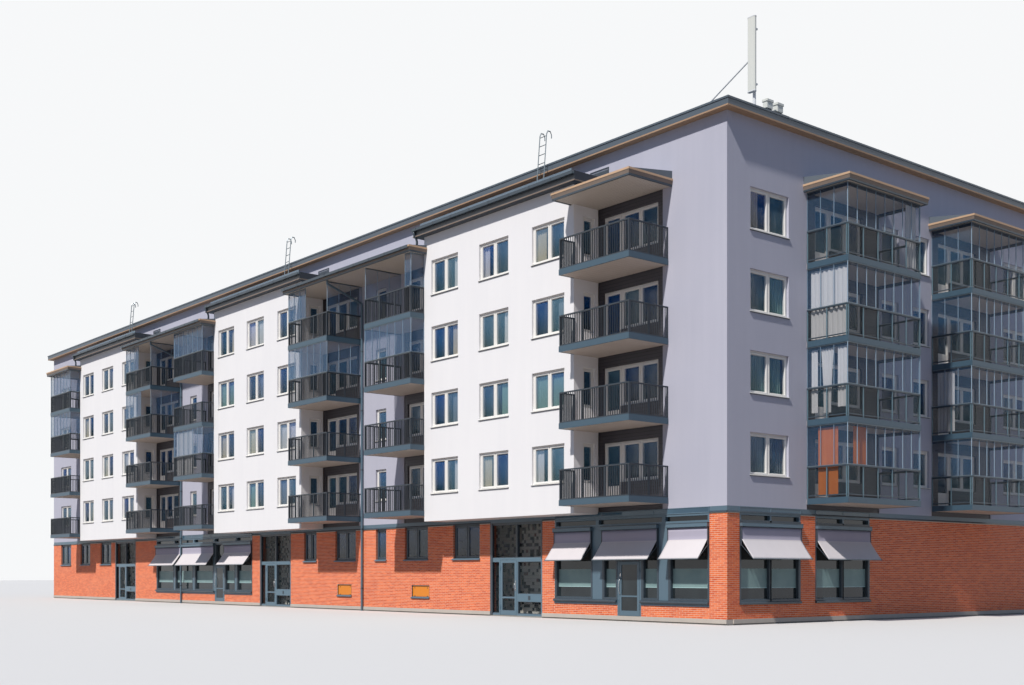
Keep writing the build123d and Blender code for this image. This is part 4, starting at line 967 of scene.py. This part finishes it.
def skirt(rows, section):
    """A closed section of (proud, z) points is carried round three sides of each row and mitred.

    A row is u0, u1, the out at which each of its two sides starts, the front's out, and a height.
    """
    proud, rise = np.array(section, float).T
    points = np.zeros((len(rows), 4, len(section), 3))
    u0, u1, near, far, front, level = np.array(rows, float).T[..., None]
    points[:, 0, :, 0] = points[:, 1, :, 0] = u0 - proud
    points[:, 2, :, 0] = points[:, 3, :, 0] = u1 + proud
    points[:, 0, :, 1] = near
    points[:, 3, :, 1] = far
    points[:, 1, :, 1] = points[:, 2, :, 1] = front + proud
    points[..., 2] = (level + rise)[:, None]
    return points.reshape(-1, 3), tube(len(rows), 4, len(section))


def round_balconies(street_rows, end_rows, section):
    """The same skirt on the street's side and on both short faces."""
    found = [(street_rows, street), (end_rows, near_end), (end_rows, far_end)]
    return [place(skirt(rows, section), wall) for rows, wall in found if rows]


rows = []
for i, start in enumerate(stack_starts):
    near, far = (0.60, 0.01) if i % 2 == 1 else (0.01, 0.60)
    rows += [(start, start + stack, near, far, balcony_out, top) for top in floor_tops]
end_rows = [(start, start + end_stack_width, 0.01, 0.01, end_balcony_out, top) for start in end_stack_starts
            for top in floor_tops]
fascia_paint = painted("slab_paint", (66, 90, 106), (53, 76, 92), 0.42, 0.3)
closed("slab_channels", round_balconies(rows, end_rows, channel), fascia_paint, "blue_steel")
slab_finish = Finish("balcony_concrete", (200, 190, 182), 0.85)
cast = slab_finish.mix(slab_finish.weather(0.8, 0.3, 40.0)["Mask"], (208, 198, 190), (182, 171, 163))
slab_finish.feed("Base Color", boarded(slab_finish, "X", 0.11, 0.07, cast, (168, 156, 148), 9.0, 0.0015))
dress(slab_finish, "balcony_slabs")

# Canopies: timber roofs over the top balconies, boarded beneath. Stepped edge boards are nailed one over the
# other round three sides, between a dark strip under them and a folded cap above. The cap is coloured tan as
# the edge looks lit, and the boards under it a darker brown as painted shade under the edge.
canopy_eave, canopy_lap = 7.4, 0.09
soffit = Finish("soffit_boards", (196, 182, 168), 0.7)
boards = soffit.mix(soffit.weather(0.7, 0.3, 50.0)["Mask"], (208, 200, 192), (188, 179, 170))
boards = boarded(soffit, "Y", 0.06, 0.08, boards, (132, 122, 114), 8.0, 0.003)
above_edge = soffit.math("GREATER_THAN", soffit.along("Z"), canopy_eave + 0.012)
soffit.feed("Base Color", soffit.mix(above_edge, boards, (92, 102, 112)))
dress(soffit, "canopies")
# Painted light: the tan cap is the canopy edge as lit, and the brown boards are that edge in painted shade;
# the brown also serves the bay eave trim.
lit_edge_tan = weathered("tan_boards", (208, 178, 148), (184, 152, 122), 0.65, clouds=0.8, grain_size=35.0)
brown_trim_and_edge_shade = weathered("edge_boards", (138, 124, 114), (116, 102, 92), 0.65, clouds=0.8, grain_size=35.0)
eave_boards = weathered("eave_boards", (178, 148, 122), (152, 124, 100), 0.7, clouds=0.8, grain_size=35.0)
dress(eave_boards, "roof_soffits")
edge_board = [(0.001, 0.022), (0.004, 0.022), (0.004, 0.036), (0.007, 0.038), (0.007, 0.052), (0.010, 0.054),
              (0.010, 0.068), (0.013, 0.070), (0.013, 0.084), (0.001, 0.084)]
edge_grey = [(-0.030, -0.001), (-0.030, -0.010), (0.003, -0.010), (0.003, 0.022), (0.001, 0.022),
             (0.001, -0.001)]
edge_cap = [(-0.02, 0.119), (-0.02, 0.116), (0.001, 0.116), (0.001, 0.084), (0.019, 0.084), (0.019, 0.119)]
canopy_rows = []
for first, last in ((0, 0), (1, 2), (3, 4), (5, 5)):
    near, far = 0.60 * (first % 2 == 1), 0.60 * (last % 2 == 0)
    canopy_rows.append((stack_starts[first] - canopy_lap, stack_starts[last] + stack + canopy_lap, near, far,
                        balcony_out + canopy_lap, canopy_eave))
end_canopies = [(start - canopy_lap, start + end_stack_width + canopy_lap, 0.0, 0.0,
                 end_balcony_out + canopy_lap, canopy_eave) for start in end_stack_starts]
for name, section, finish, slot in (("canopy_boards", edge_board, brown_trim_and_edge_shade, "soffit_wood"),
                                    ("canopy_under_edges", edge_grey, dark_steel, "dark_steel"),
                                    ("canopy_caps", edge_cap, lit_edge_tan, "soffit_wood")):
    closed(name, round_balconies(canopy_rows, end_canopies, section), finish, slot)


# Bay roofs: sheet folded into standing seams every 0.3 m over a dark eave board, with a brown trim screwed
# under the edge and a snow guard of flat ribs bolted above it.
def standing_seams(feet, tips, across, sunk):
    """Each seam's section, 8 mm wide across one axis, is carried straight from its foot to its tip."""
    section = np.zeros((4, 3))
    section[:, across] = (-0.004, 0.004, 0.004, -0.004)
    section[:, 2] = (-sunk, -sunk, 0.016, 0.016)
    points = np.stack([feet, tips], 1)[:, :, None] + section
    return points.reshape(-1, 3), tube(len(feet), 2, 4)


bay_eave, bay_edge, bay_roof_out, bay_roof_side, bay_rise, seam_pitch = 7.75, 0.175, 0.745, 0.18, 0.13, 0.3
roof_sheet = weathered("roof_sheet", (84, 96, 108), (66, 78, 90), 0.38, grain_size=20.0, relief=0.0003)
eave_dark = weathered("eave_sheet", (52, 58, 66), (40, 46, 54), 0.4, grain_size=20.0, relief=0.0002)
dress(eave_dark, "bay_roofs")
dress(roof_sheet, "roof", "snow_guards")
trim = [(0.0, 0.002), (0.008, 0.002), (0.008, 0.024), (0.0, 0.024)]
bay_rows = [(start - bay_roof_side, start + bay + bay_roof_side, 0.0, 0.0, bay_roof_out, bay_eave)
            for start in bay_starts]
closed("bay_eave_trim", [skirt(bay_rows, trim)], brown_trim_and_edge_shade, "soffit_wood", street)
seams, ribs = [], []
for u0, u1, *_ in bay_rows:
    at = np.arange(u0 + seam_pitch, u1 - 0.2, seam_pitch)
    reach = np.minimum(bay_roof_out, np.minimum(at - u0, u1 - at))
    edge_top = bay_eave + bay_edge
    ends = spans((at, at), (bay_roof_out - 0.005, bay_roof_out - reach),
                 (edge_top, edge_top + bay_rise * reach / bay_roof_out))
    seams.append(standing_seams(*ends, 0, 0.004))
    at = np.arange(u0 + 0.16, u1 - 0.16, 0.028)
    ribs.append(lengths(*spans((at, at + 0.012), (0.675, 0.683), (edge_top + 0.012, edge_top + 0.090)), 2))
closed("bay_roof_seams", seams, eave_dark, "roof_sheet", street)
guard_paint = weathered("snow_guard_paint", (152, 170, 184), (126, 146, 162), 0.4, grain_size=30.0,
                        relief=0.0002)
closed("snow_guard_ribs", ribs, guard_paint, "roof_sheet", street)

# Main roof: the same sheet, its standing seams folded from each eave up to the hips, with a folded flashing
# clipped over the edge all round.
roof_edge_top, roof_rise, overhang = 8.5, 0.12, 0.155
lx, ly = corner_x + overhang, corner_y + overhang
flash = [(-0.012, roof_edge_top + 0.002), (-0.012, roof_edge_top - 0.030), (0.0, roof_edge_top - 0.030),
         (0.0, roof_edge_top - 0.006), (0.05, roof_edge_top + 0.004), (0.05, roof_edge_top + 0.009)]
points, faces = moulding([(-lx, lx, -ly, ly)], flash)
closed("roof_edge_flashing", [(points[:, [0, 2, 1]], faces)], roof_sheet, "roof_sheet")
seams, seam_foot = [], roof_edge_top - 0.002
for side in (-1, 1):
    at = np.arange(-lx + seam_pitch, lx - 0.2, seam_pitch)
    reach = np.minimum(ly, lx - np.abs(at))
    climb = seam_foot, seam_foot + roof_rise * reach / ly
    ends = spans((at, at), (side * (ly - 0.01), side * (ly - reach)), climb)
    seams.append(standing_seams(*ends, 0, 0.0))
    at = np.arange(-ly + seam_pitch, ly - 0.2, seam_pitch)
    reach = ly - np.abs(at)
    climb = seam_foot, seam_foot + roof_rise * reach / ly
    ends = spans((side * (lx - 0.01), side * (lx - reach)), (at, at), climb)
    seams.append(standing_seams(*ends, 1, 0.0))
closed("roof_seams", seams, roof_sheet, "roof_sheet")

# Balcony glazing: frameless toughened panes that fold aside, each edge ground and polished. They stand and
# hang in slim extruded metal tracks.
balcony_pane = tinted("balcony_pane", (96, 128, 146), 0.03, 0.7, (36, 80, 124), (104, 146, 184))
on_end = balcony_pane.math("GREATER_THAN", balcony_pane.math("ABSOLUTE", balcony_pane.along("X")), corner_x)
balcony_pane.feed("Alpha", balcony_pane.math("MULTIPLY_ADD", on_end, -0.12, 0.24))
dress(balcony_pane, "balcony_glazing")
tracks, joints = [], []
for low, high in solids("balcony_glazing"):
    axis = long_axis(low, high)
    other = 1 - axis
    for z0, z1 in ((low[2], low[2] + 0.014), (high[2] - 0.022, high[2])):
        limits = {other: (low[other] - 0.005, high[other] + 0.005), 2: (z0, z1)}
        tracks.append(fitted(low, high, axis, limits, 0.003))
    count = max(1, int(round((high[axis] - low[axis]) / 0.27)))
    for x in np.linspace(low[axis], high[axis], count + 1):
        limits = {axis: (x - 0.003, x + 0.003), other: (low[other] - 0.002, high[other] + 0.002)}
        joints.append(fitted(low, high, 2, limits))
pane_edge = weathered("pane_edges", (156, 176, 192), (118, 140, 160), 0.15, grain_size=40.0, relief=0.0001)
closed("glazing_tracks", tracks, track_metal, "galvanised")
closed("glazing_pane_edges", joints, pane_edge, "glass")

# Balustrades of the short faces: steel posts, bolted down outside smoky laminated glass, with a dark handrail
# screwed over its head and a foot rail below.
balustrade_pitch, glass_foot = 0.425, 0.055
infill, posts, handrails = [], [], []
for low, high in solids("end_railings"):
    axis = long_axis(low, high)
    other = 1 - axis
    line = (low[other] + high[other]) / 2
    outward = 1.0 if other == 0 and low[0] > 0 else -1.0
    if other == 1:
        near_side = abs(low[1] + corner_y - end_stack_starts).min() < 0.01
        outward = -1.0 if near_side else 1.0
    behind = line - outward * 0.006
    limits = {other: (behind - 0.004, behind + 0.004), 2: (low[2] + glass_foot, high[2] - 0.02)}
    infill.append(fitted(low, high, axis, limits))
    for z0, z1, wide in ((high[2] - 0.024, high[2], 0.034), (low[2] + 0.034, low[2] + glass_foot, 0.022)):
        limits = {other: (line - wide / 2, line + wide / 2), 2: (z0, z1)}
        handrails.append(fitted(low, high, axis, limits, 0.003))
    count = max(2, int(round((high[axis] - low[axis]) / balustrade_pitch)) + 1)
    for x in np.linspace(low[axis] + 0.011, high[axis] - 0.011, count):
        limits = {axis: (x - 0.010, x + 0.010), other: (line - outward * 0.002, line + outward * 0.0135),
                  2: (low[2], high[2] - 0.022)}
        posts.append(fitted(low, high, 2, limits, 0.002))
smoky = tinted("smoky_glass", (44, 62, 72), 0.04, 0.8, (26, 44, 56), (70, 92, 102), alpha=0.16)
closed("balustrade_glass", infill, smoky, "glass")
closed("balustrade_handrails", handrails, dark_steel, "dark_steel")
post_paint = weathered("post_paint", (96, 122, 134), (80, 105, 118), 0.4, grain_size=30.0, relief=0.0002)
balusters = closed("balustrade_posts", posts, post_paint, "blue_steel")
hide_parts("end_railings")

# Head tracks: the panes of the short faces hang from a stepped dark channel, extruded and screwed up under
# each slab and each canopy.
head_section = [(-0.002, -0.0005), (-0.002, -0.022), (-0.012, -0.022), (-0.012, -0.042), (-0.024, -0.042),
                (-0.024, -0.058), (-0.046, -0.058), (-0.046, -0.0005)]
head_rows = [(start, start + end_stack_width, 0.01, 0.01, end_balcony_out, level)
             for start in end_stack_starts for level in (*(floor_tops[1:] - slab_thickness), canopy_eave)]
closed("glazing_head_tracks", round_balconies([], head_rows, head_section), eave_dark, "dark_steel")

# Curtains: thin woven cloth, cut wider than it hangs and gathered on hooks along a slim metal rail behind the
# window. Most are drawn to one side, and some cover the whole width.
curtain_finishes = {}
for name, colour in (("cream", (222, 212, 190)), ("teal", (140, 178, 172)), ("slate", (132, 146, 160)),
                     ("white", (234, 234, 236))):
    drape = Finish(f"curtain_{name}", colour, 0.9)
    crossed = woven(drape, 160.0, 1.0)[1]
    darker = tuple(int(c * 0.86) for c in colour)
    drape.feed("Base Color", drape.mix(drape.math("MULTIPLY", crossed, 0.8), darker, colour))
    drape.bump(crossed, 0.0005, 0.5)
    curtain_finishes[name] = drape
curtains, curtain_rods = [], []


def hang_curtain(wall, u0, u1, z0, z1, colour, out=-0.105, depth=0.014, fold=0.055, narrow=1.0):
    """One curtain: a sine wave of folds across u, its height falling straight down z.

    The folds flatten towards the rail, and the cloth draws in to the given share of its width at the foot.
    """
    v, u = np.meshgrid(np.linspace(0, 1, 9), np.linspace(0, 1, int((u1 - u0) / fold * 8) + 2), indexing="ij")
    drawn = 1 - (1 - narrow) * np.sin(np.pi / 2 * v)
    wave = np.sin(2 * np.pi * u * (u1 - u0) / fold + 1.3 * np.sin(5 * u)) * (0.55 + 0.45 * v)
    along = (u0 + u1) / 2 + (u - 0.5) * (u1 - u0) * drawn
    points = np.stack([along, out + depth * wave, z1 + (z0 - z1) * v], -1)
    width = float(np.linalg.norm(np.diff(points, axis=1), axis=2).sum(1).mean())
    cloth = hung_cloth(f"curtain_{len(curtains) + 1}", points, (u * width, v * (z1 - z0)), wall,
                       curtain_finishes[colour], None)
    rod = lengths((u0 - 0.01, out - 0.005, z1 - 0.002), (u1 + 0.01, out + 0.005, z1 + 0.008), 0, 0.002)
    curtain_rods.append(place(rod, wall))
    curtains.append((cloth, width, z1 - z0))


def window_curtain(wall, start, width, storey, share, colour, at_left):
    """A curtain over a share of one opening, at one side of it, from just under its head to its sill."""
    top, covered = floor_tops[storey], (width - 0.06) * share
    u0 = start + 0.03 if at_left else start + width - 0.03 - covered
    hang_curtain(wall, u0, u0 + covered, top + window_sill + 0.03, top + window_head - 0.035, colour)


def bay_curtain(i, k, storey, share, colour, at_left):
    """A curtain in bay i, window k, both counted from the near corner."""
    start = bay_starts[i] + bay / 2 + (k - 1) * 1.585 - 0.45
    window_curtain(bay_face, start, 0.9, storey, share, colour, at_left)


for row in ((0, 0, 3, 0.32, "cream", False), (0, 0, 1, 1.0, "teal", True), (0, 1, 2, 0.25, "white", True),
            (0, 1, 0, 0.3, "cream", False), (0, 2, 3, 0.25, "white", True), (0, 2, 1, 0.3, "slate", True),
            (1, 0, 2, 0.3, "cream", True), (1, 1, 3, 1.0, "white", True), (1, 1, 0, 0.35, "teal", False),
            (1, 2, 1, 0.3, "cream", False), (2, 0, 2, 0.3, "white", True), (2, 2, 0, 0.4, "cream", True)):
    bay_curtain(*row)
for row in ((near_end, 0.575, 1.0, 3, 0.3, "cream", True), (near_end, 0.575, 1.0, 2, 0.45, "teal", False),
            (near_end, 0.575, 1.0, 1, 0.92, "teal", True), (near_end, 0.575, 1.0, 0, 1.0, "slate", True),
            (near_end, 8.515, 1.0, 2, 0.3, "cream", True),
            (yard, yard_holes[2][0], 0.9, 1, 0.3, "white", True),
            (yard, yard_holes[7][0], 0.9, 2, 0.4, "cream", False),
            (far_end, 0.575, 1.0, 2, 0.35, "cream", True)):
    window_curtain(*row)
more = ((0, 0, 0, 0.24, "white"), (0, 0, 2, 0.28, "slate"), (0, 1, 1, 0.34, "teal"), (0, 1, 3, 0.22, "white"),
        (0, 2, 0, 0.26, "white"), (0, 2, 2, 0.3, "cream"), (1, 0, 0, 0.3, "slate"), (1, 0, 1, 1.0, "white"),
        (1, 0, 3, 0.3, "white"), (1, 1, 1, 0.28, "cream"), (1, 1, 2, 0.4, "slate"), (1, 2, 0, 0.3, "white"),
        (1, 2, 2, 1.0, "teal"), (1, 2, 3, 0.3, "cream"), (2, 0, 0, 0.35, "cream"), (2, 0, 1, 0.3, "white"),
        (2, 0, 3, 0.3, "slate"), (2, 1, 0, 0.3, "white"), (2, 1, 1, 0.36, "cream"), (2, 1, 3, 0.3, "white"),
        (2, 2, 1, 0.3, "white"), (2, 2, 2, 0.4, "cream"), (2, 2, 3, 0.3, "teal"))
for number, row in enumerate(more):
    bay_curtain(*row, number % 3 != 0)

# Drapes and screens: on the glazed balconies hang one full white drape, narrower ones, and two screens of
# split bamboo canes, tied side by side and nailed under a batten.
street_side, second_side = [wall_axes((1, 0), (0, -1), (corner_x, start - corner_y))
                            for start in end_stack_starts]
near_front, street_front = moved(near_end, end_balcony_out), moved(street, balcony_out)
behind_pane = -0.055
ceiling = floor_tops + 1.35 - slab_thickness
for wall, u0, u1, low, high, depth, fold, narrow in (
    (street_side, 0.05, 0.80, floor_tops[2] + 0.03, ceiling[2], 0.016, 0.09, 1.0),
    (street_side, 0.06, 0.19, floor_tops[1] + 0.12, ceiling[1], 0.010, 0.06, 1.0),
    (street_side, 0.26, 0.52, floor_tops[1] + 0.10, ceiling[1], 0.016, 0.05, 0.55),
    (street_side, 0.60, 0.78, floor_tops[1] + 0.18, ceiling[1], 0.010, 0.06, 1.0),
    (second_side, 0.10, 0.45, floor_tops[1] + 0.05, ceiling[1], 0.014, 0.07, 1.0),
    (near_front, end_stack_starts[0] + 1.75, end_stack_starts[0] + 2.05, floor_tops[3] + 0.05, canopy_eave,
     0.014, 0.07, 1.0),
    (street_front, stack_starts[3] + 0.62, stack_starts[3] + 1.64, floor_tops[1] + 0.03, ceiling[1],
     0.016, 0.09, 1.0),
):
    hang_curtain(wall, u0, u1, low, high - 0.06, "white", behind_pane, depth, fold, narrow)
closed("curtain_rails", curtain_rods, track_metal, "galvanised")
bamboo = Finish("split_bamboo", (206, 116, 44), 0.6)
bamboo.feed("Base Color", bamboo.mix(bamboo.weather(0.9, 0.6, 30.0)["Mask"], (236, 150, 56), (186, 92, 26)))
bamboo.bump(bamboo.math("FRACT", bamboo.math("DIVIDE", bamboo.along("X"), 0.0055)), 0.001)
canes, screen_head = [], ceiling[0] - 0.06
for wall, u0, u1, screen_foot in (
    (street_side, 0.20, 0.60, floor_tops[0] + 0.06),
    (near_front, end_stack_starts[0] + 0.22, end_stack_starts[0] + 0.60, floor_tops[0] + 0.56),
):
    at = np.arange(u0, u1, 0.0085)
    cane = spans((at, at + 0.007), (behind_pane - 0.004, behind_pane + 0.002), (screen_foot, screen_head))
    canes.append(place(lengths(*cane, 2, 0.0015), wall))
    for z in np.linspace(screen_foot + 0.06, screen_head - 0.06, 5):
        tie = lengths((u0 - 0.002, behind_pane - 0.006, z), (u1 + 0.002, behind_pane - 0.003, z + 0.006), 0)
        canes.append(place(tie, wall))
    batten = lengths((u0 - 0.005, behind_pane - 0.012, screen_head - 0.005),
                     (u1 + 0.005, behind_pane + 0.006, screen_head + 0.0195), 0, 0.002)
    canes.append(place(batten, wall))
closed("bamboo_screens", canes, bamboo, "soffit_wood")

# Rainwater: strap brackets bent from flat steel hold the gutters, and two-part clips screwed to the wall hold
# the downpipes. A short cranked pipe drains each bay roof.
pipe_out = 0.045
straps, clips, bay_pipes = [], [], []
for low, high in solids("gutters"):
    at = np.arange(low[0] + 0.15, high[0] - 0.05, 0.6)
    foot = np.stack(np.broadcast_arrays(at, low[1], low[2]), -1)
    for p, q in (((0.0, -0.003, -0.003), (0.014, 0.0, 0.059)), ((0.0, -0.003, -0.003), (0.014, 0.059, 0.0)),
                 ((0.0, 0.0, 0.053), (0.014, 0.059, 0.056))):
        straps.append(lengths(foot + p, foot + q, 2))
closed("gutter_straps", straps, eave_dark, "dark_steel")
for start in middle_starts:
    u = start + middle - 0.05
    for z in np.arange(0.5, 6.6, 1.35):
        clips.append(bar_through([(u, pipe_out, z + rise) for rise in (0.0, 0.012, 0.024)], 0.029, 12))
        fixing = lengths((u - 0.006, 0.0005, z + 0.004), (u + 0.006, pipe_out - 0.02, z + 0.020), 1, 0.002)
        clips.append(fixing)
for start in bay_starts:
    u = start + bay + 0.12
    bay_pipes.append(bar_through([(u, 0.772, 7.868), (u, 0.772, 7.82), (u, 0.755, 7.77), (u, 0.71, 7.725),
                                  (u, 0.695, 7.67), (u, 0.695, 7.535)], 0.024, 12))
closed("pipe_clips", clips, dark_steel, "dark_steel", street)
closed("bay_roof_pipes", bay_pipes, dark_steel, "blue_steel", street, smooth=True)

# Louvres: vents let into the attic wall beside each bay roof, with pale folded blades slotted into a dark
# folded frame.
louvre_low, louvre_high, blade_pitch, frame_side = 7.96, 8.11, 0.022, 0.012
louvre_section = [(0.0, 0.0005), (0.0, 0.014), (frame_side, 0.014), (frame_side, 0.0005)]
louvre_frames, blades = [], []
for start in bay_starts:
    u0, u1 = start - 0.28, start + 0.20
    louvre_frames.append(moulding([(u0, u1, louvre_low, louvre_high)], louvre_section))
    for z in np.arange(louvre_low + 0.014, louvre_high - 0.026, blade_pitch):
        blade = [(0.001, z + 0.014), (0.001, z + 0.012), (0.010, z), (0.012, z + 0.001)]
        blades.append(runs(blade, u0 + frame_side, u1 - frame_side))
closed("louvre_frames", louvre_frames, dark_steel, "dark_steel", street)
closed("louvre_blades", blades, track_metal, "galvanised", street)

# Roof fittings: ladders and a hot-dip galvanised mast, an aerial and its radio boxes in pale moulded plastic
# held by clamps, and two radio heads with lids, bolted to a small steel rack.
zinc = weathered("galvanised_steel", (226, 229, 232), (196, 200, 205), 0.5, metallic=0.1, clouds=0.9,
                 streaks=0.1, grain_size=70.0, relief=0.0003)
dress(zinc, "antenna_mast")
dress(track_metal, "roof_ladders")
pale_plastic = weathered("aerial_plastic", (222, 224, 218), (202, 205, 200), 0.55, grain_size=90.0,
                         relief=0.0003)
dress(pale_plastic, "antenna_panel", "radio_units")
grips, fins, heads = [], [], []
low, high = solids("antenna_panel")[0]
x = (low[0] + high[0]) / 2
for z in (low[2] + 0.12, high[2] - 0.22):
    grips.append(lengths((x - 0.05, high[1] - 0.002, z), (x + 0.05, high[1] + 0.058, z + 0.03), 0, 0.004))
for limits in ((low[2] - 0.006, low[2] + 0.012), (high[2] - 0.012, high[2] + 0.004)):
    grips.append(fitted(low - 0.002, high + 0.002, 2, {2: limits}, 0.018))
closed("antenna_clamps_and_caps", grips, zinc, "galvanised")
for low, high in solids("radio_units"):
    at = np.arange(low[1] + 0.01, high[1] - 0.008, 0.014)
    fin = spans((low[0] - 0.008, low[0] + 0.002), (at, at + 0.004), (low[2] + 0.08, high[2] - 0.02))
    fins.append(lengths(*fin, 2))
closed("radio_unit_fins", fins, pale_plastic, "antenna_plastic")
first, last = sorted(solids("radio_units")[[0, -1]], key=lambda unit: unit[0][1])
x, top = (first[0][0] + first[1][0]) / 2, first[1][2]
rail_low, rail_high, lid = top + 0.085, top + 0.105, 0.012
rack = [lengths((x - 0.01, first[0][1] - 0.20, rail_low), (x + 0.01, last[1][1] + 0.02, rail_high), 1, 0.003)]
for low, high in (first, last):
    y = (low[1] + high[1]) / 2
    upright = lengths((x - 0.012, y - 0.012, top - 0.001), (x + 0.012, y + 0.012, rail_low + 0.001), 2, 0.003)
    rack.append(upright)
for y0, y1 in ((first[0][1] - 0.19, first[0][1] - 0.02), (first[1][1] - 0.07, first[1][1] + 0.10)):
    heads.append(lengths((x - 0.05, y0, rail_high - 0.001), (x + 0.05, y1, rail_high + 0.115), 2, 0.012))
    low = x - 0.05 - lid, y0 - lid, rail_high + 0.112
    high = x + 0.05 + lid, y1 + lid, rail_high + 0.150
    heads.append(lengths(low, high, 2, 0.014))
    for y in (y0 + 0.035, (y0 + y1) / 2, y1 - 0.035):
        low, high = (x + 0.012, y - 0.008, rail_low - 0.03), (x + 0.028, y + 0.008, rail_high + 0.001)
        rack.append(lengths(low, high, 2, 0.003))
closed("radio_heads", heads, pale_plastic, "antenna_plastic")
closed("radio_rack", rack, dark_steel, "dark_steel")

# The floor of the room, plain and pale. It is darker to all but the rays that see it straight, so that it
# throws little light up on the block.
floor_data = bpy.data.meshes.new("room_floor")
floor_data.from_pydata([(-150, -150, 0), (150, -150, 0), (150, 150, 0), (-150, 150, 0)], [], [(0, 1, 2, 3)])
floor = bpy.data.objects.new("room_floor", floor_data)
bpy.context.scene.collection.objects.link(floor)
pale_floor = Finish("pale_floor", (206, 205, 204), 0.9)
ray = pale_floor.node("ShaderNodeLightPath").outputs
straight = pale_floor.math("MAXIMUM", ray["Is Camera Ray"], ray["Is Glossy Ray"])
straight = pale_floor.math("MAXIMUM", straight, ray["Is Transmission Ray"])
pale_floor.feed("Base Color", pale_floor.mix(straight, (128, 119, 112), (206, 205, 204)))
floor_data.materials.append(pale_floor.material)
